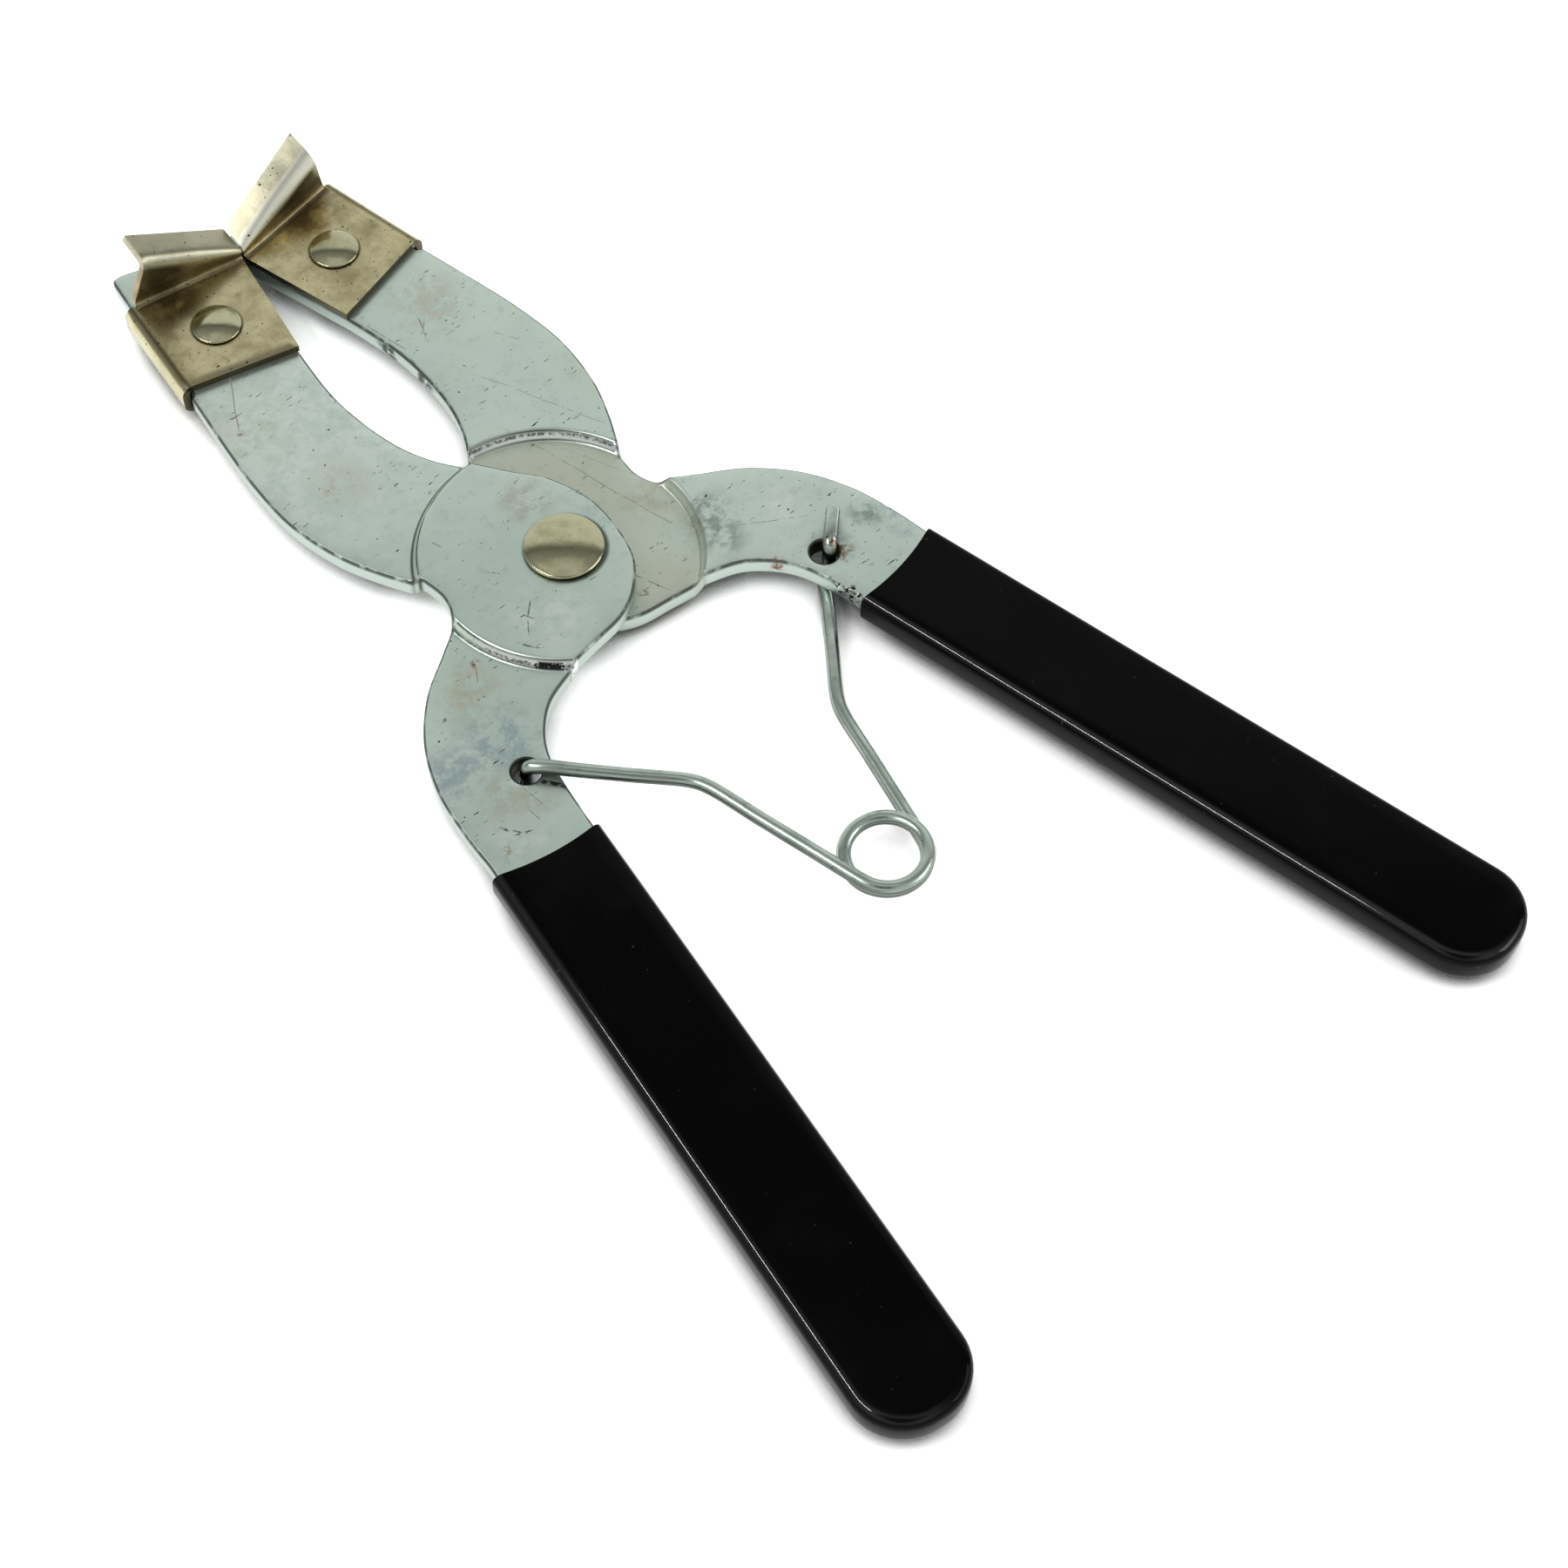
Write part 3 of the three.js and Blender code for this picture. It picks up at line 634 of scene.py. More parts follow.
# How strongly each row of the sheet is marked, from the plate's rear edge up to the flange's lip.
RISER_MARKS = [0.0] * 10 + [0.4] + [1.0] * 8 + [0.75, 0.6] + [0.3] * 7 + [0.0] * 4
LIP_MARKS = [0.0] * 21 + [1.0] * 11
CREST_MARKS = [0.0] * 20 + [0.6, 0.9, 1.0, 1.0, 1.0, 0.9, 0.6] + [0.0] * 5


def jaw_tip(side):
    """One bent sheet: a plate with a flared flange along its front and a fold round the jaw."""
    rear_inner, rear_outer = Vector((*CLIP_REAR_INNER, 0)), Vector((*CLIP_REAR_OUTER, 0))
    front_inner, front_outer = Vector((*CLIP_FRONT_INNER, 0)), Vector((*CLIP_FRONT_OUTER, 0))
    edge = (front_outer - rear_outer).normalized()
    out = Vector((edge.y, -edge.x, 0))
    rear_fold, front_fold = (corner - out * CLIP_FOLD_RADIUS for corner in (rear_outer, front_outer))
    width = (front_fold - front_inner).length
    vertices = []

    def add(spots):
        """Adds a run of points, measured from the sheet's top face, and returns their indices."""
        start = len(vertices)
        vertices.extend((spot + Vector((0, 0, TIP_TOP + ARM))) * MM for spot in spots)
        return list(range(start, len(vertices)))

    def run(start, end, steps):
        return [start.lerp(end, i / steps) for i in range(steps + 1)]

    columns = []
    for i in range(FLANGE_COLUMNS + 1):
        foot, crest, lip = (Vector(pair[0]).lerp(Vector(pair[1]), i / FLANGE_COLUMNS)
                            for pair in (FLANGE_FOOT, FLANGE_CREST, FLANGE_LIP))
        rear = rear_inner.lerp(rear_fold, (foot - front_inner).length / width)
        bend = filleted([rear, foot, crest, lip], FLANGE_FILLETS, 8)
        columns.append(add(run(rear, bend[1], PLATE_ROWS) + bend[2:-1] + run(bend[-2], bend[-1], 4)[1:]))
    depth = TIP_TOP - CLIP_BOTTOM
    turn = [(CLIP_FOLD_RADIUS * (math.sin(a) - 1), CLIP_FOLD_RADIUS * (math.cos(a) - 1))
            for a in (math.radians(15 * i) for i in range(1, 7))]
    wall = turn + [(0, -depth / 2)] + [(x, -depth - z) for x, z in reversed(turn)]
    wall += [(-CLIP_FOLD_RADIUS - reach, -depth) for reach in (0, 4, 8, CLIP_UNDER_REACH - CLIP_FOLD_RADIUS)]
    fold = [columns[-1][:PLATE_ROWS + 1], add(run(rear_fold, front_fold, PLATE_ROWS))]
    for across, height in wall:
        shift = out * across + Vector((0, 0, height))
        fold.append(add(run(rear_outer + shift, front_outer + shift, PLATE_ROWS)))
    faces = [face[::-1] for face in quads(columns) + quads(fold)]
    marks = {key: np.zeros(len(vertices)) for key in ("riser", "lip", "crest", "line", "wall")}
    for key, column in (("riser", RISER_MARKS), ("lip", LIP_MARKS), ("crest", CREST_MARKS)):
        marks[key][:len(column) * len(columns)] = column * len(columns)
    marks["line"][fold[1] + fold[3]] = 0.5
    marks["line"][fold[2]] = 1.0
    marks["wall"][np.ravel(fold[4:])] = 1.0
    piece = mesh_object(f"{side}_jaw_tip_bent", vertices, faces, marks)
    thick = piece.modifiers.new("sheet", "SOLIDIFY")
    thick.thickness = SHEET * MM
    thick.offset = -1
    thick.use_even_offset = True
    rim = piece.modifiers.new("rim", "BEVEL")
    rim.width = 0.22 * MM
    rim.segments = 3
    rim.limit_method = "ANGLE"
    rim.angle_limit = math.radians(50)
    apply_modifiers(piece)
    piece.data.polygons.foreach_set("use_smooth", [True] * len(piece.data.polygons))
    weighted = piece.modifiers.new("shading", "WEIGHTED_NORMAL")
    weighted.keep_sharp = True
    apply_modifiers(piece)
    return piece


# ---- spring

WIRE_STEP = 0.45
WIRE_SIDES = 16
HOOK_BEND = 1.95
BEND_EASE = 0.45
COIL_STEPS = 34


def coil_start(kink):
    """Angle, round the ring, at which a straight leg from the kink touches it."""
    across, along = kink[0] - RING_CENTRE[0], kink[1] - RING_CENTRE[1]
    return math.atan2(along, across) - math.acos(RING_RADIUS / math.hypot(across, along))


def spring_half(side):
    """Points from the hook to the middle of the ring, in right-hand axes."""
    over, under = PLATE + LEG_LIFT, -LEG_LIFT
    hook, leg = (over, under) if side == "right" else (under, over)
    down = math.copysign(1, leg - hook)
    sign = SIGNS[side]
    kink, seat = Vector(KINKS[side]), Vector(SPRING_HOLE)
    start = coil_start(kink)
    turn = 1.5 * math.pi + start
    middle = PLATE / 2
    ring_height = middle - sign * RING_PITCH * turn / (2 * math.pi)
    kink_height = leg + (ring_height - leg) * 0.45
    lean = Vector((sign * RING_LEAN[0], RING_LEAN[1]))

    def on_ring(angle, height):
        spot = Vector(RING_CENTRE) + RING_RADIUS * Vector((math.cos(angle), math.sin(angle)))
        return spot + lean * (height - middle)

    hole = seat + Vector(HOLE_SLACK[side])
    to_hook = (Vector(HOOK_END) - hole).normalized()
    to_leg = (kink - seat).normalized()
    leg_start = seat + to_leg * HOOK_BEND
    touch = on_ring(start, ring_height)
    before, after = kink.lerp(seat, 0.05), kink.lerp(touch, 0.05)
    route = [(*HOOK_END, hook),
             (*(hole + to_hook * HOOK_BEND), hook),
             (*(hole + to_hook * BEND_EASE), hook + BEND_EASE * down),
             (*hole, hook + HOOK_BEND * down),
             (*hole, leg - HOOK_BEND * down),
             (*(hole + to_leg * BEND_EASE), leg - BEND_EASE * down),
             (*leg_start, leg)]
    route += [(*leg_start.lerp(before, part), leg + (kink_height - leg) * part) for part in (0.3, 0.6)]
    route += [(*before, kink_height), (*after, kink_height)]
    route += [(*after.lerp(touch, part), kink_height + (ring_height - kink_height) * part)
              for part in (0.35, 0.7)]
    for i in range(COIL_STEPS + 1):
        height = middle + (ring_height - middle) * (1 - i / COIL_STEPS)
        route.append((*on_ring(start - turn * i / COIL_STEPS, height), height))
    return route


def wire_spring():
    """A round wire along both halves' points, its two ends slightly tapered."""
    left = [(-x, y, z) for x, y, z in spring_half("left")]
    route = resample(spline(left + spring_half("right")[::-1][1:], 16, 0.5, 1.0), WIRE_STEP)
    tangents = np.gradient(route, axis=0)
    tangents /= np.linalg.norm(tangents, axis=1)[:, None]
    normal = Vector((0, 0, 1))
    vertices, upper = [], []
    for i, (spot, tangent) in enumerate(zip(route, tangents)):
        tangent = Vector(tangent)
        normal = (normal - tangent * normal.dot(tangent)).normalized()
        across = tangent.cross(normal)
        from_end = min(i, len(route) - 1 - i) * WIRE_STEP
        radius = WIRE / 2 * min(1.0, 0.86 + from_end * 0.3)
        for k in range(WIRE_SIDES):
            angle = k * 2 * math.pi / WIRE_SIDES
            away = normal * math.cos(angle) + across * math.sin(angle)
            vertices.append(point(*(Vector(spot) + away * radius)))
            upper.append(max(0.0, away.z))
    rings = index_rows(0, WIRE_SIDES, len(route))
    faces = quads(rings, True) + [rings[0], rings[-1]]
    return solid("return_spring_wire", vertices, faces, {"upper": upper})


# ---- materials


def colour(red, green, blue):
    """A display colour, 0 to 255, as linear RGBA."""
    return tuple(((c / 255 + 0.055) / 1.055) ** 2.4 if c > 10 else c / 255 / 12.92
                 for c in (red, green, blue)) + (1.0,)


class Nodes:
    """A node tree, with short calls that add nodes and link them."""

    def __init__(self, tree):
        self.nodes = tree.nodes
        self.links = tree.links

    def add(self, kind, inputs=None, **settings):
        node = self.nodes.new("ShaderNode" + kind)
        for key, value in settings.items():
            setattr(node, key, value)
        for key, value in (inputs or {}).items():
            self.feed(node.inputs[key], value)
        return node

    def feed(self, socket, value):
        if isinstance(value, bpy.types.NodeSocket):
            self.links.new(value, socket)
        else:
            socket.default_value = value

    def vector(self, operation, a, b):
        return self.add("VectorMath", {0: a, 1: b}, operation=operation)

    def mix(self, factor, a, b, blend_type="MIX"):
        inputs = {0: factor, 6: a, 7: b}
        return self.add("Mix", inputs, data_type="RGBA", blend_type=blend_type).outputs[2]


class Paint(Nodes):
    """A material, painted up in layers: self.base is its base colour so far."""

    def __init__(self, name):
        self.material = bpy.data.materials.new(name)
        self.material.use_nodes = True
        super().__init__(self.material.node_tree)
        self.shader = self.nodes["Principled BSDF"]
        self.place = self.add("TexCoord").outputs["Object"]
        self.base = None

    def math(self, operation, a, b=0.0):
        return self.add("Math", {0: a, 1: b}, operation=operation).outputs[0]

    def product(self, *values):
        result = values[0]
        for value in values[1:]:
            result = self.math("MULTIPLY", result, value)
        return result

    def highest(self, values):
        result = values[0]
        for value in values[1:]:
            result = self.math("MAXIMUM", result, value)
        return result

    def rest(self, value):
        return self.math("SUBTRACT", 1.0, value)

    def ramp(self, value, low, high):
        """0 below low, 1 above high, smooth between."""
        inputs = {0: value, 1: low, 2: high}
        return self.add("MapRange", inputs, interpolation_type="SMOOTHSTEP").outputs[0]

    def mix_value(self, factor, a, b):
        return self.add("Mix", {0: factor, 2: a, 3: b}, data_type="FLOAT").outputs[0]

    def ground(self, factor, a, b):
        """Starts the base colour between two display colours."""
        self.base = self.mix(factor, colour(*a), colour(*b))

    def layer(self, tint, *factors):
        """Lays a display colour over the base colour, as strongly as the product of the factors."""
        self.base = self.mix(self.product(*factors), self.base, colour(*tint))

    def noise(self, scale, detail=2.0, rough=0.5, offset=None, turn=0.0, stretch=(1, 1, 1)):
        """Noise whose blobs are about 1/scale millimetres across, from its own part of space."""
        vector = self.place
        if offset:
            vector = self.add("Mapping", {
                "Vector": self.place, "Location": offset, "Rotation": (0, 0, turn), "Scale": stretch,
            }).outputs[0]
        return self.add("TexNoise", {
            "Vector": vector, "Scale": scale / MM, "Detail": detail, "Roughness": rough,
        }).outputs[0]

    def attribute(self, name):
        return self.add("Attribute", attribute_name=name).outputs["Fac"]

    def split(self, vector):
        """A vector's x, y and z."""
        return self.add("SeparateXYZ", {0: vector}).outputs

    def distance(self, x, y):
        """Plan distance in millimetres from a point."""
        flat = self.vector("MULTIPLY", self.place, (1 / MM, 1 / MM, 0)).outputs[0]
        return self.vector("DISTANCE", flat, (x, y, 0)).outputs["Value"]

    def spot(self, x, y, inner, outer):
        """1 within the inner distance of a point, 0 past the outer one."""
        return self.rest(self.ramp(self.distance(x, y), inner, outer))

    def dashes(self, turn, length, width, rarity, seed):
        """Short dark scratches lying along one direction."""
        offset = (seed * 0.0131, seed * 0.0173, 0)
        grain = self.noise(1.0, 1.0, 0.4, offset, turn, (1 / length, 1 / width, 1 / width))
        return self.ramp(grain, rarity, rarity + 0.03)

    def hairline(self, x0, y0, x1, y1, width):
        """One long fine scratch between two plan points, wandering a little and faded at both ends."""
        length, angle = math.hypot(x1 - x0, y1 - y0), math.atan2(y1 - y0, x1 - x0)
        ease = min(2.0, length / 4)
        moved = self.vector("SUBTRACT", self.place, (x0 * MM, y0 * MM, 0)).outputs[0]
        along, across, _ = self.split(self.add(
            "VectorRotate", {"Vector": moved, "Angle": -angle},
            rotation_type="Z_AXIS").outputs[0])
        wander = self.product(self.math("SUBTRACT", self.noise(0.08), 0.5), 1.2 * MM)
        off = self.math("ABSOLUTE", self.math("SUBTRACT", across, wander))
        line = self.rest(self.ramp(off, width * MM * 0.3, width * MM))
        fade_in = self.ramp(along, 0.0, ease * MM)
        fade_out = self.rest(self.ramp(along, (length - ease) * MM, length * MM))
        return self.product(line, self.product(fade_in, fade_out))

    def finish(self, roughness, height=None, strength=0.0, distance=0.0):
        """Connects the base colour, the roughness and, if there is one, the bump; gives the material."""
        self.feed(self.shader.inputs["Base Color"], self.base)
        self.feed(self.shader.inputs["Roughness"], roughness)
        if height:
            self.feed(self.shader.inputs["Normal"], self.add("Bump", {
                "Height": height, "Strength": strength, "Distance": distance * MM,
            }).outputs[0])
        return self.material


BEIGE = (210, 208, 184)
BLUE = (168, 188, 196)
GREY_CLOUD = (140, 157, 148)
PALE = (240, 249, 244)
YELLOWED = (206, 205, 190)

# Marks on each lever, at plan points: stains (x, y, radius, tint), dark scratches (x and y of both ends,
# width, strength), rust specks, crumpled spots with painted reflections and dark painted reflections on the
# joggle (x, y, radius), and rust streaks (x and y of both ends). The joggle carries a painted highlight past
# highlight_from millimetres towards highlight_side; away_side_shade sets its painted shade lines on the
# other side.
MARKS = {"left": dict(
    stains=((-9.5, -8.0, 9.0, PALE), (-15.0, 46.0, 34.0, PALE), (-19.5, 35.0, 9.0, PALE),
            (-36.0, -33.0, 7.0, PALE), (-28.0, -18.9, 9.0, BLUE), (-37.0, -19.5, 7.0, BLUE),
            (-26.0, -9.5, 7.0, (206, 203, 180)), (-33.0, -28.0, 8.0, YELLOWED),
            (1.5, 10.5, 6.0, (200, 199, 184)), (11.0, 2.0, 6.0, BLUE),
            (-17.0, 33.0, 7.0, (212, 206, 190))),
    # The first scratch below is painted shadow: the dark line that the spring wire casts on the plate by its
    # hole.
    scratches=((-29.0, -27.4, -25.6, -32.4, 0.65, 1.0), (-37.9, -30.2, -36.8, -32.4, 0.3, 0.95),
               (-37.6, -32.6, -34.4, -33.9, 0.2, 0.85), (-9.6, -3.9, -12.2, -6.2, 0.16, 0.8),
               (-12.2, -6.2, -14.3, -9.1, 0.14, 0.8), (-16.3, -8.3, -14.0, -12.1, 0.22, 0.8),
               (-12.6, -4.4, -11.4, -7.4, 0.14, 0.7), (-11.5, 4.6, -8.8, 1.8, 0.13, 0.7),
               (7.7, 7.5, 10.2, 3.4, 0.22, 0.8), (-3.6, 10.2, -3.9, 7.9, 0.14, 0.75),
               (-2.4, 9.6, -4.5, 9.3, 0.12, 0.7), (-13.9, 14.2, -13.3, 12.1, 0.12, 0.7),
               (-37.6, -30.9, -35.1, -34.5, 0.22, 0.85), (-31.0, -26.8, -30.8, -32.3, 0.1, 0.6),
               (-32.8, -30.5, -32.8, -33.5, 0.12, 0.6), (-6.9, 47.8, -6.6, 45.7, 0.16, 0.8)),
    rust=((-22.5, -6.4, 1.3), (-21.6, 50.8, 1.0), (-39.5, -34.0, 1.2)),
    rust_streaks=((-15.4, 61.2, -21.8, 50.6), (-22.6, -6.6, -24.7, -9.6),
                  (-40.0, -33.4, -38.9, -34.7)),
    crumple_reflections=(), dark_reflections=((-15.1, -14.5, 2.6),), highlight_side=-1, highlight_from=3, away_side_shade=1.0, lap_tint=0.0
), "right": dict(
    stains=((30.6, -14.9, 6.0, PALE), (20.8, -8.6, 6.0, GREY_CLOUD), (19.5, -13.6, 5.0, GREY_CLOUD),
            (41.7, -28.8, 5.0, BLUE), (38.5, -24.5, 4.0, GREY_CLOUD),
            (17.0, 0.0, 6.0, (198, 193, 176)), (30.6, -25.6, 4.6, GREY_CLOUD),
            (16.0, 52.0, 9.0, (208, 204, 190))),
    scratches=((12.0, 36.4, 21.2, 14.1, 0.1, 0.4), (10.4, 22.2, 16.5, -7.1, 0.11, 0.45),
               (12.0, 20.0, 19.0, 4.0, 0.1, 0.25), (21.6, -12.7, 32.4, -19.7, 0.1, 0.55),
               (4.8, 56.6, 7.1, 45.6, 0.18, 0.8), (7.1, 45.6, 5.9, 36.9, 0.18, 0.8),
               (5.9, 55.5, 7.9, 46.0, 0.12, 0.6), (13.5, 51.4, 11.3, 46.1, 0.14, 0.6),
               (14.0, 49.9, 11.1, 47.2, 0.12, 0.5), (19.4, 41.1, 22.0, 35.7, 0.1, 0.5),
               # The last scratch below is a dark painted reflection on the crumpled spot by the grip.
               (5.4, -8.0, 8.0, -15.0, 0.14, 0.6), (25.4, -31.0, 27.2, -36.5, 0.4, 0.9)),
    rust=((30.9, -27.4, 2.6), (31.0, -24.6, 2.0), (22.5, -22.3, 1.6), (21.1, 46.8, 0.9), (4.6, -12.4, 1.1)),
    rust_streaks=((3.6, -12.2, 5.2, -13.4), (19.8, -20.4, 23.0, -23.0)),
    crumple_reflections=((26.4, -34.1, 2.1), (25.7, -31.6, 1.2)), dark_reflections=(), highlight_side=1, highlight_from=8, away_side_shade=0.4,
    lap_tint=0.6
)}


def zinc_ground(g, cloud, fine, marks):
    """Plating that varies softly and is stained in places, with painted shade on its sheared sides and in
    its holes.
    """
    g.ground(g.ramp(cloud, 0.3, 0.7), (213, 230, 221), (226, 239, 231))
    yellow = g.ramp(g.noise(0.035, offset=(0.3, 0.1, 0)), 0.52, 0.72)
    g.layer((214, 214, 190), yellow, 0.35)
    for x, y, radius, tint in marks["stains"]:
        mottle = g.ramp(g.noise(0.35, 6.0, 0.75), 0.4, 0.6)
        g.layer(tint, g.spot(x, y, radius * 0.2, radius), mottle, 0.75)
    spread = g.mix_value(g.ramp(g.noise(0.05, offset=(0.5, 0.6, 0)), 0.35, 0.65), 0.45, 1.0)
    g.layer(BEIGE, g.attribute("lap"), marks["lap_tint"], spread)
    g.layer((170, 186, 176), g.ramp(fine, 0.52, 0.75), 0.3)
    # Painted shade: the sheared sides are darkened, and the walls of the holes darker still.
    g.layer((170, 182, 175), g.attribute("side"), 0.85)
    g.layer((46, 46, 40), g.attribute("bore"), g.mix_value(g.attribute("side"), 0.55, 0.95))


def zinc_scratches(g, marks):
    """Black dashes, specks and long scratches, and a broken dark line along the sheared corner."""
    top_only = g.rest(g.attribute("side"))
    region = g.ramp(g.noise(0.09, offset=(0.7, 0.2, 0)), 0.42, 0.56)
    dashes = g.highest([g.dashes(0.5, 2.2, 0.32, 0.745, 1), g.dashes(-0.7, 1.8, 0.28, 0.75, 2),
                        g.dashes(1.9, 2.6, 0.3, 0.75, 3)])
    specks = g.ramp(g.noise(1.6, 1.0, 0.3, (0.2, 0.9, 0)), 0.79, 0.82)
    smear = g.ramp(g.noise(0.9, 2.0, 0.6, (0.3, 0.7, 0)), 0.36, 0.54)
    lines = [g.product(g.hairline(*ends, width), strength, smear)
             for *ends, width, strength in marks["scratches"]]
    broken = g.ramp(g.noise(0.35, 2.0, 0.6, (0.4, 0.4, 0)), 0.3, 0.5)
    corner = g.product(g.ramp(g.attribute("corner"), 0.35, 0.95), g.mix_value(broken, 0.45, 1.0), 0.85)
    dark = g.highest([g.product(dashes, region, top_only), g.product(specks, top_only), *lines, corner])
    g.layer((48, 54, 52), dark)
    return dark


def zinc_rust(g, marks):
    specks = g.highest([g.spot(x, y, radius * 0.15, radius) for x, y, radius in marks["rust"]])
    specks = g.product(specks, g.ramp(g.noise(1.1, 4.0, 0.7), 0.45, 0.6))
    streaks = [g.product(g.hairline(*ends, 0.13), 0.75) for ends in marks["rust_streaks"]]
    rust = g.highest([specks, *streaks])
    g.layer((124, 80, 42), rust)
    return rust


def zinc_joggle(g, marks):
    """The lap's step: paler along its slope, polished with a painted highlight on the side that faces the
    light, with dark painted reflections over it and painted shade lines at its foot and head.
    """
    joggle = g.ramp(g.attribute("joggle"), 0.05, 0.5)
    g.layer((204, 208, 190), joggle, 0.35)
    across = g.product(g.split(g.place)[1], marks["highlight_side"])
    lit_side = g.ramp(across, marks["highlight_from"] * MM, (marks["highlight_from"] + 4) * MM)
    polish_and_highlight = g.product(joggle, lit_side)
    # Painted highlight: the step is lightened on the side that faces the light.
    g.layer((236, 240, 238), polish_and_highlight)
    from_line = g.math("ABSOLUTE", g.math("SUBTRACT", g.attribute("lap"), 0.4))
    speckle = g.ramp(g.noise(1.3, 3.0, 0.65, (0.1, 0.5, 0)), 0.44, 0.58)
    dark_reflection = g.product(g.rest(g.ramp(from_line, 0.05, 0.22)), speckle, 0.8)
    for x, y, radius in marks["dark_reflections"]:
        ragged = g.product(g.math("SUBTRACT", g.noise(2.6, 3.0, 0.6), 0.5), 3.5)
        patch = g.ramp(g.math("ADD", g.spot(x, y, radius * 0.5, radius), ragged), 0.35, 0.55)
        dark_reflection = g.highest([dark_reflection, g.product(patch, g.rest(g.ramp(from_line, 0.2, 0.4)))])
    # Painted reflections: dark specks along the step and dark patches, laid over the painted highlight.
    g.layer((36, 38, 38), polish_and_highlight, dark_reflection)
    # Painted shade: dark lines at the step's foot and head.
    step_shade = g.product(g.attribute("step_shade"), g.ramp(g.noise(0.2, 3.0, 0.6), 0.15, 0.4))
    g.layer((38, 46, 43), step_shade, g.mix_value(lit_side, marks["away_side_shade"], 0.7))
    return joggle, polish_and_highlight


def zinc(side):
    """Worn bright zinc on sheared plate: soft stains, black scratches, rust specks, painted shade on its
    sides, in its holes and round the pivot, and a polished joggle with painted highlight, reflections and
    shade.
    """
    g = Paint(f"{side}_zinc")
    marks = MARKS[side]
    cloud = g.noise(0.055, 3.0, 0.55)
    fine = g.noise(0.5, 4.0, 0.65)
    zinc_ground(g, cloud, fine, marks)
    dark = zinc_scratches(g, marks)
    rust = zinc_rust(g, marks)
    joggle, polish_and_highlight = zinc_joggle(g, marks)
    # Painted reflections: each crumpled spot gets light and dark patches.
    for x, y, radius in marks["crumple_reflections"]:
        patch = g.spot(x, y, radius * 0.6, radius)
        crumple_reflections = g.noise(1.1, 3.0, 0.6, (0.7, 0.1, 0))
        g.layer((224, 230, 227), patch, g.ramp(crumple_reflections, 0.42, 0.5))
        g.layer((44, 48, 46), patch, g.ramp(crumple_reflections, 0.52, 0.57))
    # Painted shade: a dark ring round the pivot rivet's head.
    if side == "left":
        g.layer((62, 68, 60), g.spot(0.25, -0.15, 6.1, 6.75), 0.85)
    g.feed(g.shader.inputs["Metallic"], g.rest(g.product(rust, 0.9)))
    rough = g.mix_value(g.ramp(cloud, 0.3, 0.7), 0.34, 0.42)
    rough = g.mix_value(joggle, rough, 0.52)
    rough = g.mix_value(polish_and_highlight, rough, 0.15)
    rough = g.mix_value(g.highest([dark, rust]), rough, 0.7)
    pits = g.math("ADD", g.product(fine, 0.5), g.product(g.noise(0.12), 1.5))
    pits = g.math("SUBTRACT", pits, g.product(dark, 0.6))
    return g.finish(rough, pits, 0.35, 0.08)


JAW_RIVET_PLACE = (11.6, 69.4)
FOLD_GRIME_PLACE = (13.0, 78.0)


